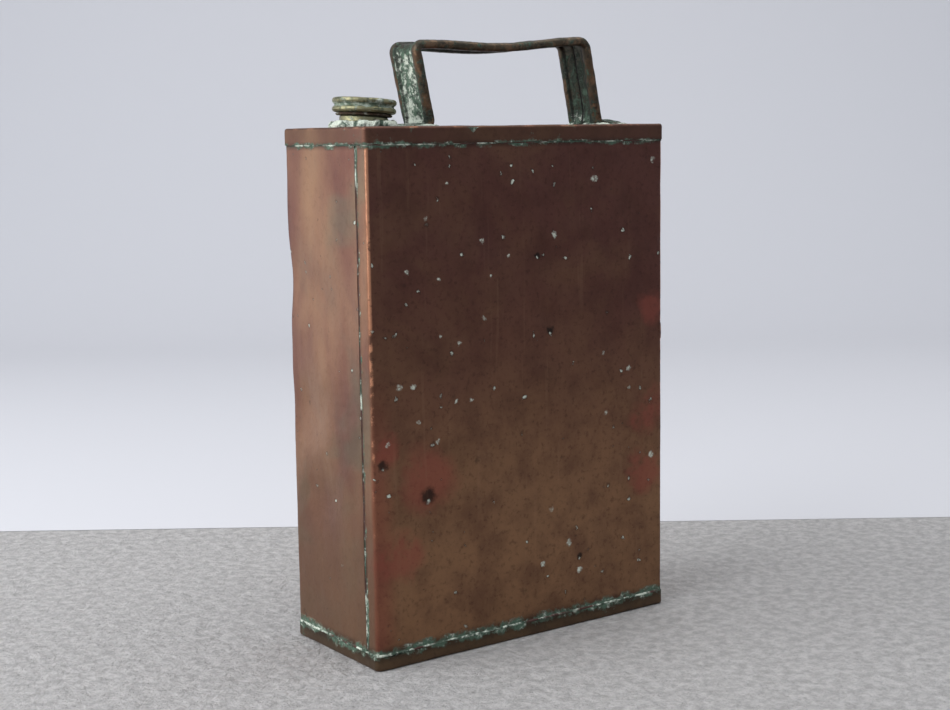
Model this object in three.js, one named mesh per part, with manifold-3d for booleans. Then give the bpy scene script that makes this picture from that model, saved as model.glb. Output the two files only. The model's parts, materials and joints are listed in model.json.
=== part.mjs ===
// A one-gallon copper oil can, as a tinsmith builds it: two folded shells lapped and soldered up
// the narrow sides, a pan-shaped end soldered on top and bottom, a wired strap handle soldered
// down by its feet, and a brass filler boss closed by a screw stopper on a leather washer.
//
// Millimetres, +Z up, +X along the broad face towards the handle's far foot, -Y is the front.
// The origin is the middle of the base, on the surface that the can stands on.
import * as THREE from "three";
import { mergeVertices } from "three/addons/utils/BufferGeometryUtils.js";
import Module from "manifold-3d";

// ---------------------------------------------------------------- driving dimensions
const bodyWidth = 201;
const bodyDepth = 83.5;
const canHeight = 285; // base to the top plate's upper face
const sheet = 0.8; // copper of the shells and ends
const solderFilm = 0.15; // room that solder fills between two lapped sheets
const cornerRadius = 2.2; // outside of the shells' upright corners
const lapWidth = 9.5; // front shell's margin, folded round onto each narrow side
const topSkirt = 9; // depth of the top end's turned-down edge
const bottomSkirt = 8; // depth of the bottom end's turned-up edge
const endEdgeRadius = 1.5; // where an end's plate turns into its skirt
const beadHeight = 1.4; // solder showing beyond a skirt's edge
const lapBeadWidth = 1.3; // solder showing beside a lap's edge
const lapCrown = 0.25; // its height above the narrow side
const lapOverlap = 6; // lip of the back shell under each lap

const handle = {
  width: 28, // across the strap
  sheet: 0.7,
  wireRadius: 1.25, // stiffening wires in the strap's two edges
  slack: 0.45, // between a wire and the sheet that wraps it
  layerGap: 0.3, // between the strap's two layers
  slit: 0.6, // where the turned-in flaps meet
  fromFiller: 36, // filler's axis to the left leg, at the top plate
  fromSide: 22.6, // body's right side to the right leg
  lean: 9.2, // how far both legs lean towards the filler
  rise: 43.4, // middle of the strap above the plate, at the left bend
  riseRight: 4.4, // extra height of the right bend
  sag: 2.6, // dip in the middle of the grip
  leftBend: 3.6, // bend radii, at the middle of the strap
  rightBend: 5.6,
  footBend: 2.4,
  tabWidth: 25,
  tabSheet: 1.2,
  tabGap: 8, // from the left foot to the filler's solder
  rightTab: 15.8, // length of the right foot beyond its leg
  solderSpread: 1.5,
  solderHeight: 1,
};

const filler = {
  inset: 24.9, // filler's axis from the body's left side
  tilt: THREE.MathUtils.degToRad(4.4), // the boss was soldered slightly out of square
  neckWall: 3.8, // outside the thread
  spigotWall: 1.8,
  flangeWidth: 2.4,
  flangeHeight: 2,
  flangeDepth: 1.6, // flange below the plate's face, before it is dressed flat
  height: 5.5, // boss above the top plate
  spigotDepth: 3.2, // boss below the top plate's upper face
  edge: 0.6, // worn edges of the neck and flange
  fillet: 1.2, // neck into flange
  solderWidth: 2.8,
  solderHeight: 2.4,
  solderCrest: 0.8, // flat top of the solder round the flange
  solderToe: 0.4, // its thin outer edge
};

const thread = {
  pitch: 3,
  majorRadius: 9.2, // stopper's crests, and what the boss is sized from
  depth: 1.1,
  crest: 0.7,
  root: 1.7,
  clearance: 0.3,
  perTurn: 30, // facets round a turn
};

const stopper = {
  headRadius: 17.2,
  waistRadius: 15.9,
  headHeight: 7.6,
  bandHeight: 3.2, // each of the two grip bands
  dish: 0.8, // depth of the hollow in the top face
  dishRim: 2.2, // width of the rim round it
  bandEdge: 0.8, // worn edges of the bands
  bandStep: 0.2, // slope from a band to the waist
  stemLength: 9.6, // below the head
  plainLength: 2.2, // stem above the thread
  stemWall: 2.5, // inside the thread's roots
  boreDepth: 13.2, // from the stem's tip up into the head
};

const washer = { fit: 0.6, overhang: 2, thickness: 1.2 };

const clearance = 0.3; // between faces that meet at a slant or on a curve
const roundSegments = 48;

// ---------------------------------------------------------------- sizes that follow from those
const halfWidth = bodyWidth / 2;
const halfDepth = bodyDepth / 2;
const lapStep = sheet + solderFilm; // how far a lip lies inside the lap over it
const lapEdge = -halfDepth + lapWidth; // raw edge of the front shell's laps
const lipEdge = lapEdge - lapOverlap;
const shoulder = lapEdge + 2 * solderFilm + lapBeadWidth; // where the back shell steps in
const innerCorner = cornerRadius - sheet;
const endGrow = solderFilm + sheet; // an end's outside beyond the shells' outside
const plateTop = canHeight;
const plateUnder = canHeight - sheet;
const shellBottom = sheet + solderFilm;
const shellTop = plateUnder - solderFilm;
const fillerX = -halfWidth + filler.inset;
const wrapInner = handle.wireRadius + handle.slack;
const wrapOuter = wrapInner + handle.sheet;
const wireOffset = handle.width / 2 - wrapOuter;
const neckRadius = thread.majorRadius + filler.neckWall;
const spigotRadius = thread.majorRadius + filler.spigotWall;
const flangeRadius = neckRadius + filler.flangeWidth;
const solderInner = flangeRadius + clearance + filler.flangeHeight * Math.tan(filler.tilt);
const solderOuter = solderInner + filler.solderWidth;
const stemRadius = thread.majorRadius - thread.depth;
const boreRadius = stemRadius + thread.clearance;
const leftLeg = fillerX + handle.fromFiller; // middle of each leg at the top plate
const rightLeg = halfWidth - handle.fromSide;
const leftTab = handle.fromFiller - wrapOuter - solderOuter - handle.tabGap;
const headUnder = filler.height + washer.thickness + 2 * clearance;
const stemTip = headUnder - stopper.stemLength;
const threadLead = thread.root / 2 + thread.depth / 4; // from the tip to the thread's middle
const threadStart = stemTip + threadLead;

// ---------------------------------------------------------------- solids
const wasm = await Module();
wasm.setup();

function solid(geometry) {
  const bare = geometry.clone();
  bare.deleteAttribute("normal");
  bare.deleteAttribute("uv");
  const merged = mergeVertices(bare, 1e-4);
  return new wasm.Manifold(
    new wasm.Mesh({
      numProp: 3,
      vertProperties: merged.attributes.position.array,
      triVerts: new Uint32Array(merged.index.array),
    }),
  );
}

function geometryOf(manifold) {
  const mesh = manifold.getMesh();
  const stride = mesh.numProp;
  const points = new Float32Array(mesh.numVert * 3);
  for (let i = 0; i < mesh.numVert; i++) {
    points.set(mesh.vertProperties.subarray(i * stride, i * stride + 3), i * 3);
  }
  const geometry = new THREE.BufferGeometry()
    .setAttribute("position", new THREE.BufferAttribute(points, 3))
    .setIndex(new THREE.BufferAttribute(mesh.triVerts, 1))
    .toNonIndexed();
  geometry.computeVertexNormals();
  return geometry;
}

const cut = (from, ...tools) =>
  geometryOf(tools.reduce((left, tool) => left.subtract(solid(tool)), solid(from)));
const join = (...pieces) =>
  geometryOf(pieces.map(solid).reduce((all, piece) => all.add(piece)));

// ---------------------------------------------------------------- outlines and paths
function roundedRectangle(width, depth, radius) {
  const shape = new THREE.Shape();
  const x = width / 2;
  const y = depth / 2;
  const turn = Math.PI / 2;
  shape.moveTo(x, y - radius);
  shape.absarc(x - radius, y - radius, radius, 0, turn);
  shape.absarc(radius - x, y - radius, radius, turn, 2 * turn);
  shape.absarc(radius - x, radius - y, radius, 2 * turn, 3 * turn);
  shape.absarc(x - radius, radius - y, radius, 3 * turn, 4 * turn);
  return shape;
}

function upright(shape, bottom, top) {
  const geometry = new THREE.ExtrudeGeometry(shape, {
    depth: top - bottom,
    bevelEnabled: false,
    curveSegments: 5,
  });
  return geometry.translate(0, 0, bottom);
}

function box(x0, x1, y0, y1, z0, z1) {
  return new THREE.BoxGeometry(x1 - x0, y1 - y0, z1 - z0).translate(
    (x0 + x1) / 2,
    (y0 + y1) / 2,
    (z0 + z1) / 2,
  );
}

// A lathe turned about +Z, from [radius, height] pairs that go up the inside or along the top
// and then down the outside.
function turned(profile) {
  const points = profile.map(([radius, height]) => new THREE.Vector2(radius, height));
  return new THREE.LatheGeometry(points.reverse(), roundSegments).rotateX(Math.PI / 2);
}

// A path in the XZ plane that keeps exactly the stations it is given, so that bends are fine
// and straights are a single step.
class StationPath extends THREE.Curve {
  constructor(stations) {
    super();
    this.stations = stations;
  }
  getPoint(t, target = new THREE.Vector3()) {
    const last = this.stations.length - 1;
    return target.copy(this.stations[Math.round(t * last)]);
  }
  getPointAt(u, target) {
    return this.getPoint(u, target);
  }
  getTangentAt(u, target = new THREE.Vector3()) {
    const last = this.stations.length - 1;
    const i = Math.round(u * last);
    const here = this.stations[i];
    target.set(0, 0, 0);
    if (i > 0) target.add(here.clone().sub(this.stations[i - 1]).normalize());
    if (i < last) target.add(this.stations[i + 1].clone().sub(here).normalize());
    return target.normalize();
  }
}

// A screw line about +Z whose section stays square to the axis.
class ThreadPath extends THREE.Curve {
  constructor(radius, start, turns) {
    super();
    Object.assign(this, { radius, start, turns });
  }
  getPoint(t, target = new THREE.Vector3()) {
    const angle = 2 * Math.PI * this.turns * t;
    const height = this.start + thread.pitch * this.turns * t;
    return target.set(this.radius * Math.cos(angle), this.radius * Math.sin(angle), height);
  }
  getPointAt(u, target) {
    return this.getPoint(u, target);
  }
  computeFrenetFrames(segments) {
    const frames = { tangents: [], normals: [], binormals: [] };
    for (let i = 0; i <= segments; i++) {
      const angle = (2 * Math.PI * this.turns * i) / segments;
      frames.normals.push(new THREE.Vector3(Math.cos(angle), Math.sin(angle), 0));
      frames.binormals.push(new THREE.Vector3(0, 0, -1));
      frames.tangents.push(new THREE.Vector3(-Math.sin(angle), Math.cos(angle), 0));
    }
    return frames;
  }
}

function swept(shape, path, steps) {
  return new THREE.ExtrudeGeometry(shape, {
    steps,
    bevelEnabled: false,
    curveSegments: 1,
    extrudePath: path,
  });
}

// Corner points joined by arcs of the given radii, as stations for a StationPath.
function bentLine(corners, radii, stepAngle = Math.PI / 10) {
  const stations = [corners[0]];
  for (let i = 1; i < corners.length - 1; i++) {
    const into = corners[i].clone().sub(corners[i - 1]).normalize();
    const out = corners[i + 1].clone().sub(corners[i]).normalize();
    const turn = into.angleTo(out);
    const reach = radii[i - 1] * Math.tan(turn / 2);
    const steps = Math.max(2, Math.ceil(turn / stepAngle));
    const start = corners[i].clone().addScaledVector(into, -reach);
    const axis = into.clone().cross(out).normalize();
    const centre = start
      .clone()
      .addScaledVector(axis.clone().cross(into), radii[i - 1]);
    const arm = start.clone().sub(centre);
    for (let k = 0; k <= steps; k++) {
      const swung = arm.clone().applyAxisAngle(axis, (turn * k) / steps);
      stations.push(centre.clone().add(swung));
    }
  }
  stations.push(corners.at(-1));
  return stations;
}

// ---------------------------------------------------------------- body
// The front face, with a lap folded round onto each narrow side.
function frontShell() {
  const outer = halfWidth;
  const inner = halfWidth - sheet;
  const bend = cornerRadius - halfDepth;
  const sheetLine = new THREE.Shape();
  sheetLine.moveTo(-outer, lapEdge);
  sheetLine.lineTo(-outer, bend);
  sheetLine.absarc(cornerRadius - outer, bend, cornerRadius, Math.PI, 1.5 * Math.PI);
  sheetLine.absarc(outer - cornerRadius, bend, cornerRadius, 1.5 * Math.PI, 2 * Math.PI);
  sheetLine.lineTo(outer, lapEdge);
  sheetLine.lineTo(inner, lapEdge);
  sheetLine.absarc(outer - cornerRadius, bend, innerCorner, 2 * Math.PI, 1.5 * Math.PI, true);
  sheetLine.absarc(cornerRadius - outer, bend, innerCorner, 1.5 * Math.PI, Math.PI, true);
  sheetLine.lineTo(-inner, lapEdge);
  return upright(sheetLine, shellBottom, shellTop);
}

// The back face and both narrow sides. Each side steps in just behind the front shell's lap
// and runs on as a lip underneath it, so that the two shells are flush outside.
function backShell() {
  const outer = halfWidth;
  const inner = halfWidth - sheet;
  const lip = halfWidth - lapStep;
  const bend = halfDepth - cornerRadius;
  const sheetLine = new THREE.Shape();
  sheetLine.moveTo(outer, shoulder);
  sheetLine.lineTo(outer, bend);
  sheetLine.absarc(outer - cornerRadius, bend, cornerRadius, 0, Math.PI / 2);
  sheetLine.absarc(cornerRadius - outer, bend, cornerRadius, Math.PI / 2, Math.PI);
  sheetLine.lineTo(-outer, shoulder);
  sheetLine.lineTo(-lip, shoulder);
  sheetLine.lineTo(-lip, lipEdge);
  sheetLine.lineTo(sheet - lip, lipEdge);
  sheetLine.lineTo(sheet - lip, shoulder + sheet);
  sheetLine.lineTo(-inner, shoulder + sheet);
  sheetLine.absarc(cornerRadius - outer, bend, innerCorner, Math.PI, Math.PI / 2, true);
  sheetLine.absarc(outer - cornerRadius, bend, innerCorner, Math.PI / 2, 0, true);
  sheetLine.lineTo(inner, shoulder + sheet);
  sheetLine.lineTo(lip - sheet, shoulder + sheet);
  sheetLine.lineTo(lip - sheet, lipEdge);
  sheetLine.lineTo(lip, lipEdge);
  sheetLine.lineTo(lip, shoulder);
  return upright(sheetLine, shellBottom, shellTop);
}

// A pan: a plate with its edge turned over the shells, its plate at z 0 and its skirt upwards.
function endPan(skirt) {
  const inner = endEdgeRadius;
  const outside = new THREE.ExtrudeGeometry(
    roundedRectangle(
      bodyWidth + 2 * (endGrow - inner),
      bodyDepth + 2 * (endGrow - inner),
      cornerRadius + endGrow - inner,
    ),
    {
      depth: 2 * skirt,
      bevelEnabled: true,
      bevelSize: inner,
      bevelThickness: inner,
      bevelSegments: 3,
      curveSegments: 5,
    },
  ).translate(0, 0, inner);
  const hollow = upright(
    roundedRectangle(
      bodyWidth + 2 * solderFilm,
      bodyDepth + 2 * solderFilm,
      cornerRadius + solderFilm,
    ),
    sheet,
    4 * skirt,
  );
  const above = box(-bodyWidth, bodyWidth, -bodyDepth, bodyDepth, skirt, 4 * skirt);
  return cut(outside, hollow, above);
}

function bottomEnd() {
  return endPan(bottomSkirt);
}

function topEnd() {
  const pan = endPan(topSkirt).rotateX(Math.PI).translate(0, 0, canHeight);
  const hole = new THREE.CylinderGeometry(
    spigotRadius + clearance,
    spigotRadius + clearance,
    4 * sheet,
    roundSegments,
  ).rotateX(Math.PI / 2);
  return cut(pan, hole.translate(fillerX, 0, plateTop));
}

// The solder that shows round the shells just beyond a skirt's edge.
function seamBead(bottom, top) {
  const ring = roundedRectangle(
    bodyWidth + 2 * endGrow,
    bodyDepth + 2 * endGrow,
    cornerRadius + endGrow,
  );
  ring.holes.push(
    roundedRectangle(
      bodyWidth + 2 * solderFilm,
      bodyDepth + 2 * solderFilm,
      cornerRadius + solderFilm,
    ),
  );
  return upright(ring, bottom, top);
}

// The solder in the groove between a lap's raw edge and the step behind it, standing a
// little proud.
function lapBead(side) {
  const floor = side * (halfWidth - lapStep + solderFilm);
  const face = side * halfWidth;
  const front = lapEdge + solderFilm;
  const back = shoulder - solderFilm;
  const run = new THREE.Shape();
  run.moveTo(floor, front);
  run.lineTo(face, front);
  run.lineTo(face + side * lapCrown, (front + back) / 2);
  run.lineTo(face, back);
  run.lineTo(floor, back);
  const bottom = bottomSkirt + solderFilm + beadHeight + clearance;
  const top = canHeight - topSkirt - solderFilm - beadHeight - clearance;
  return upright(run, bottom, top);
}

// ---------------------------------------------------------------- handle
const footHeight = plateTop + clearance; // underside of the strap's legs

function handleCorners() {
  const low = footHeight;
  const high = plateTop + handle.rise;
  return {
    leftLow: new THREE.Vector3(leftLeg, 0, low),
    leftHigh: new THREE.Vector3(leftLeg - handle.lean, 0, high),
    rightHigh: new THREE.Vector3(rightLeg - handle.lean, 0, high + handle.riseRight),
    rightLow: new THREE.Vector3(rightLeg, 0, low),
  };
}

// The strap's middle line: up the left leg, along the sagging grip, down the right leg.
function handleStations() {
  const { leftLow, leftHigh, rightHigh, rightLow } = handleCorners();
  const sagSteps = 8;
  const bends = bentLine(
    [leftLow, leftHigh, rightHigh, rightLow],
    [handle.leftBend, handle.rightBend],
  );
  const straight = bends.findIndex(
    (p, i) => i > 0 && bends[i + 1] && bends[i + 1].distanceTo(p) > handle.width,
  );
  const from = bends[straight];
  const to = bends[straight + 1];
  const grip = [];
  for (let k = 1; k < sagSteps; k++) {
    const share = k / sagSteps;
    const point = from.clone().lerp(to, share);
    point.z -= handle.sag * Math.sin(Math.PI * share) ** 2;
    grip.push(point);
  }
  return [...bends.slice(0, straight + 1), ...grip, ...bends.slice(straight + 1)];
}

// The strap's section: one sheet, its edges wrapped round the wires and its flaps turned in
// to meet on the inner side. x runs across the strap and +y is the inner side.
function strapSection() {
  const section = new THREE.Shape();
  const arcSteps = 9;
  const inside = handle.layerGap / 2;
  const outside = inside + handle.sheet;
  const points = [];
  const arc = (side, radius, level, steps) => {
    const open = Math.asin(level / radius);
    for (let k = 0; k <= steps; k++) {
      const angle = Math.PI - open - ((2 * (Math.PI - open)) * k) / steps;
      points.push([side * (wireOffset + radius * Math.cos(angle)), radius * Math.sin(angle)]);
    }
  };
  points.push([handle.slit / 2, outside]);
  arc(1, wrapOuter, outside, arcSteps);
  const turned = points.length;
  arc(-1, wrapOuter, outside, arcSteps);
  points.push(...points.splice(turned).reverse());
  points.push([-handle.slit / 2, outside], [-handle.slit / 2, inside]);
  arc(-1, wrapInner, inside, arcSteps - 2);
  const back = points.length;
  arc(1, wrapInner, inside, arcSteps - 2);
  points.push(...points.splice(back).reverse());
  points.push([handle.slit / 2, inside]);
  section.setFromPoints(points.map(([x, y]) => new THREE.Vector2(x, y)));
  return section;
}

// A foot: the strap's outer layer carried down the leg and bent outwards onto the plate.
function footTab(side, tab) {
  const { leftLow, leftHigh, rightHigh, rightLow } = handleCorners();
  const low = side < 0 ? leftLow : rightLow;
  const high = side < 0 ? leftHigh : rightHigh;
  const along = high.clone().sub(low).normalize();
  const outwards = new THREE.Vector3(side * along.z, 0, -side * along.x);
  const middle = (handle.layerGap + handle.sheet) / 2;
  const layer = low.clone().addScaledVector(outwards, middle);
  const level = plateTop + solderFilm + handle.tabSheet / 2;
  const corner = layer.addScaledVector(along, (level - layer.z) / along.z);
  const start = corner.clone().addScaledVector(along, 3 * handle.footBend);
  const end = corner.clone().setX(low.x + side * (wrapOuter + tab));
  const stations = bentLine([start, corner, end], [handle.footBend]);
  const section = new THREE.Shape();
  const w = handle.tabWidth / 2;
  const t = handle.tabSheet / 2;
  section.setFromPoints([
    new THREE.Vector2(-w, -t),
    new THREE.Vector2(w, -t),
    new THREE.Vector2(w, t),
    new THREE.Vector2(-w, t),
  ]);
  return swept(section, new StationPath(stations), stations.length - 1);
}

function handleStrap() {
  const stations = handleStations();
  const strap = swept(strapSection(), new StationPath(stations), stations.length - 1);
  const whole = join(strap, footTab(-1, leftTab), footTab(1, handle.rightTab));
  const channels = [1, -1].map((side) => handleRod(side, handle.wireRadius + handle.slack / 2));
  return cut(whole, belowLevel(plateTop + solderFilm), ...channels);
}

// A rod along one edge of the strap. side is 1 for the front edge, -1 for the back.
function handleRod(side, radius) {
  const stations = handleStations();
  const sides = 8;
  const points = [];
  for (let k = 0; k < sides; k++) {
    const angle = (2 * Math.PI * k) / sides;
    const across = side * wireOffset + radius * Math.cos(angle);
    points.push(new THREE.Vector2(across, radius * Math.sin(angle)));
  }
  return swept(new THREE.Shape(points), new StationPath(stations), stations.length - 1);
}

function handleWire(side) {
  return cut(handleRod(side, handle.wireRadius), belowLevel(plateTop + 2 * clearance));
}

function belowLevel(level) {
  return box(-bodyWidth, bodyWidth, -bodyDepth, bodyDepth, level - handle.rise, level);
}

// The solder round a leg and its foot, on the plate.
function footSolder(side, tab) {
  const leg = side < 0 ? leftLeg : rightLeg;
  const inner = leg - side * (wrapOuter + 2 * clearance);
  const outer = leg + side * (wrapOuter + tab + clearance);
  const spread = handle.solderSpread;
  const ring = roundedRectangle(
    Math.abs(outer - inner) + 2 * spread,
    handle.width + 2 * (clearance + spread),
    spread,
  );
  ring.holes.push(
    roundedRectangle(Math.abs(outer - inner), handle.width + 2 * clearance, spread / 3),
  );
  const from = plateTop + solderFilm;
  return upright(ring, from, from + handle.solderHeight).translate((inner + outer) / 2, 0, 0);
}

// ---------------------------------------------------------------- filler, about its own axis
function threadRidge(grow, start, turns) {
  const low = thread.majorRadius - thread.depth - thread.depth / 2;
  const high = thread.majorRadius + grow;
  const crest = thread.crest / 2 + grow;
  const root = thread.root / 2 + grow + thread.depth / 4;
  const section = new THREE.Shape();
  section.setFromPoints([
    new THREE.Vector2(low, -root),
    new THREE.Vector2(high, -crest),
    new THREE.Vector2(high, crest),
    new THREE.Vector2(low, root),
  ]);
  return swept(section, new ThreadPath(0, start, turns), Math.round(turns * thread.perTurn));
}

function fillerBoss() {
  const { flangeHeight, flangeDepth, height, spigotDepth, edge, fillet } = filler;
  const blank = turned([
    [boreRadius, -spigotDepth],
    [boreRadius, height],
    [neckRadius - edge, height],
    [neckRadius, height - edge],
    [neckRadius, flangeHeight + fillet],
    [neckRadius + fillet / 3, flangeHeight + fillet / 3],
    [neckRadius + fillet, flangeHeight],
    [flangeRadius - edge, flangeHeight],
    [flangeRadius, flangeHeight - edge],
    [flangeRadius, -flangeDepth],
    [spigotRadius, -flangeDepth],
    [spigotRadius, -spigotDepth],
    [boreRadius, -spigotDepth],
  ]);
  const turns = Math.ceil((height + spigotDepth) / thread.pitch) + 2;
  const groove = threadRidge(thread.clearance, threadStart - thread.pitch, turns);
  // The flange is dressed flat on the plate, though the bore leans.
  const plate = new THREE.CylinderGeometry(
    2 * flangeRadius,
    2 * flangeRadius,
    8 * sheet,
    roundSegments,
  ).rotateX(Math.PI / 2);
  const opening = new THREE.CylinderGeometry(
    spigotRadius,
    spigotRadius,
    16 * sheet,
    roundSegments,
  ).rotateX(Math.PI / 2);
  const bed = cut(plate.translate(0, 0, solderFilm - 4 * sheet), opening);
  return cut(blank, groove, bed.rotateY(-filler.tilt));
}

function fillerStopper() {
  const { headRadius, waistRadius, headHeight, bandHeight, dish, dishRim } = stopper;
  const edge = stopper.bandEdge;
  const step = stopper.bandStep;
  const under = headUnder;
  const top = under + headHeight;
  const tip = stemTip;
  const bore = stemRadius - stopper.stemWall;
  const body = turned([
    [0, top - dish],
    [headRadius - dishRim - dish, top - dish],
    [headRadius - dishRim, top],
    [headRadius - edge, top],
    [headRadius, top - edge],
    [headRadius, top - bandHeight + edge],
    [headRadius - edge, top - bandHeight],
    [waistRadius, top - bandHeight - step],
    [waistRadius, under + bandHeight + step],
    [headRadius - edge, under + bandHeight],
    [headRadius, under + bandHeight - edge],
    [headRadius, under + edge],
    [headRadius - edge, under],
    [stemRadius, under],
    [stemRadius, tip + edge],
    [stemRadius - edge, tip],
    [bore, tip],
    [bore, tip + stopper.boreDepth - 1],
    [bore - 1, tip + stopper.boreDepth],
    [0, tip + stopper.boreDepth],
  ]);
  const threaded = stopper.stemLength - stopper.plainLength;
  const turns = (threaded - 2 * threadLead) / thread.pitch;
  return join(body, threadRidge(0, threadStart, turns));
}

function stopperWasher() {
  const inner = thread.majorRadius + washer.fit;
  const outer = neckRadius + washer.overhang;
  const bottom = filler.height + clearance;
  return turned([
    [inner, bottom],
    [inner, bottom + washer.thickness],
    [outer, bottom + washer.thickness],
    [outer, bottom],
    [inner, bottom],
  ]);
}

// The solder round the boss's flange, on the plate and so not tilted.
function fillerSolder() {
  const from = plateTop + solderFilm;
  return turned([
    [solderInner, from],
    [solderInner, from + filler.solderHeight],
    [solderInner + filler.solderCrest, from + filler.solderHeight],
    [solderOuter, from + filler.solderToe],
    [solderOuter, from],
    [solderInner, from],
  ]).translate(fillerX, 0, 0);
}

// ---------------------------------------------------------------- materials
const metal = (color, roughness, metalness) =>
  new THREE.MeshStandardMaterial({ color, roughness, metalness });
const shellCopper = metal(0x5b3a2a, 0.42, 0.9);
const endCopper = metal(0x57402f, 0.5, 0.85);
const handleCopper = metal(0x4d4034, 0.55, 0.8);
const wireSteel = metal(0x6a5f52, 0.6, 0.8);
const brass = metal(0x8a8458, 0.4, 0.9);
const leather = metal(0x4a3524, 0.85, 0);
const solder = metal(0x8fb3a0, 0.8, 0.2);

// ---------------------------------------------------------------- assembly
function piece(name, geometry, material) {
  const mesh = new THREE.Mesh(geometry, material);
  mesh.name = name;
  return mesh;
}

const oilCan = new THREE.Group();
oilCan.add(
  piece("front_shell", frontShell(), shellCopper),
  piece("back_shell", backShell(), shellCopper),
  piece("top_end", topEnd(), endCopper),
  piece("bottom_end", bottomEnd(), endCopper),
  piece("left_lap_solder", lapBead(-1), solder),
  piece("right_lap_solder", lapBead(1), solder),
  piece(
    "top_seam_solder",
    seamBead(
      canHeight - topSkirt - solderFilm - beadHeight,
      canHeight - topSkirt - solderFilm,
    ),
    solder,
  ),
  piece(
    "bottom_seam_solder",
    seamBead(bottomSkirt + solderFilm, bottomSkirt + solderFilm + beadHeight),
    solder,
  ),
  piece("handle_strap", handleStrap(), handleCopper),
  piece("front_handle_wire", handleWire(1), wireSteel),
  piece("back_handle_wire", handleWire(-1), wireSteel),
  piece("left_foot_solder", footSolder(-1, leftTab), solder),
  piece("right_foot_solder", footSolder(1, handle.rightTab), solder),
  piece("filler_solder", fillerSolder(), solder),
);

const fillerGroup = new THREE.Group();
fillerGroup.position.set(fillerX, 0, plateTop);
fillerGroup.rotation.y = filler.tilt;
fillerGroup.add(
  piece("filler_boss", fillerBoss(), brass),
  piece("stopper_washer", stopperWasher(), leather),
  piece("stopper", fillerStopper(), brass),
);
oilCan.add(fillerGroup);

export default oilCan;
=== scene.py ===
"""Copper oil can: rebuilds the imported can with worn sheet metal, solder and verdigris.

The file is laid out as an add-on. Each operator builds one piece or one group of like
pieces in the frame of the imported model, in metres, with +Z up and -Y the front.
"""

import json
import math

import bmesh
import bpy
from mathutils import Matrix, Vector


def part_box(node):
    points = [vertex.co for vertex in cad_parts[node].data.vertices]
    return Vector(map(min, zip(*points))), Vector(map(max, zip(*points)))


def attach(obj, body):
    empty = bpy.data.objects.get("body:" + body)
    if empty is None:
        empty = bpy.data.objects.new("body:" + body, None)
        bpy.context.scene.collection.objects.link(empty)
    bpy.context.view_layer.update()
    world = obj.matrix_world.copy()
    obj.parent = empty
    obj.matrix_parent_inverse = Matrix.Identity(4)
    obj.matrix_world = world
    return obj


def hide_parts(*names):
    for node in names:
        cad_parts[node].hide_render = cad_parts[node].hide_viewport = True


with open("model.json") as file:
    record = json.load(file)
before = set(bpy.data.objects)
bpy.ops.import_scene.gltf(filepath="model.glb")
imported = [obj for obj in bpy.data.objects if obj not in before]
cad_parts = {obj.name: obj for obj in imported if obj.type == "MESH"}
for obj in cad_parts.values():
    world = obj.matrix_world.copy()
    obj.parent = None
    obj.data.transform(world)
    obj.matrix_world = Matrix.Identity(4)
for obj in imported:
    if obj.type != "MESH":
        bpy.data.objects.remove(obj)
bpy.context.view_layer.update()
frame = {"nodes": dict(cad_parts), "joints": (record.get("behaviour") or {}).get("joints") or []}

bl_info = {
    "name": "Copper Oil Can",
    "version": (1, 0, 0),
    "blender": (4, 5, 0),
    "location": "View3D > Sidebar > Oil Can",
    "description": "Builds a soldered copper oil can with a strap handle and a screw stopper",
    "category": "Add Mesh",
}

MM = 0.001

# ------------------------------------------------------------------ places from the frame
BODY_LOW, BODY_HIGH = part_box("back_shell")
BODY_LOW = Vector((BODY_LOW.x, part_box("front_shell")[0].y, BODY_LOW.z))
LAP_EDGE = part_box("front_shell")[1].y
LIP_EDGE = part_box("back_shell")[0].y
TOP_LOW, TOP_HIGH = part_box("top_end")
BASE_LOW, BASE_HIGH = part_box("bottom_end")
STRAP_LOW, STRAP_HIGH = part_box("handle_strap")
PLATE = TOP_HIGH.z
TURN = next(j for j in frame["joints"] if j["name"] == "stopper_turn")
FILLER_AXIS = Vector(TURN["axis"])
FILLER_PLACE = Vector(TURN["pos_m"])
STOPPER_RADIUS = (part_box("stopper")[1].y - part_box("stopper")[0].y) / 2
WASHER_RADIUS = (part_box("stopper_washer")[1].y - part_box("stopper_washer")[0].y) / 2


# ------------------------------------------------------------------ settings
def length(name, description, millimetres):
    return bpy.props.FloatProperty(
        name=name,
        description=description,
        default=millimetres * MM,
        min=0.0,
        subtype="DISTANCE",
        unit="LENGTH",
    )


def colour(name, description, red, green, blue):
    """A colour setting, from the usual 0 to 255 values of a paint chart."""
    return bpy.props.FloatVectorProperty(
        name=name,
        description=description,
        default=tuple(linear(value / 255) for value in (red, green, blue)),
        subtype="COLOR",
        size=3,
        min=0.0,
        max=1.0,
    )


def linear(value):
    return value / 12.92 if value <= 0.04045 else ((value + 0.055) / 1.055) ** 2.4


class BodySettings(bpy.types.PropertyGroup):
    sheet: length("Sheet", "Thickness of the copper sheet", 0.8)
    corner: length("Corner radius", "Outside radius of the upright corners", 2.2)
    rim: length("Rim radius", "Bend from an end's plate into its skirt", 1.5)
    sway: length("Sway", "How far the broad faces wander from flat", 1.6)
    hammering: length("Hammering", "Depth of the small unevenness left by handling", 0.45)
    bead: length("Seam bead", "Radius of the solder run along the end seams", 0.6)


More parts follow.
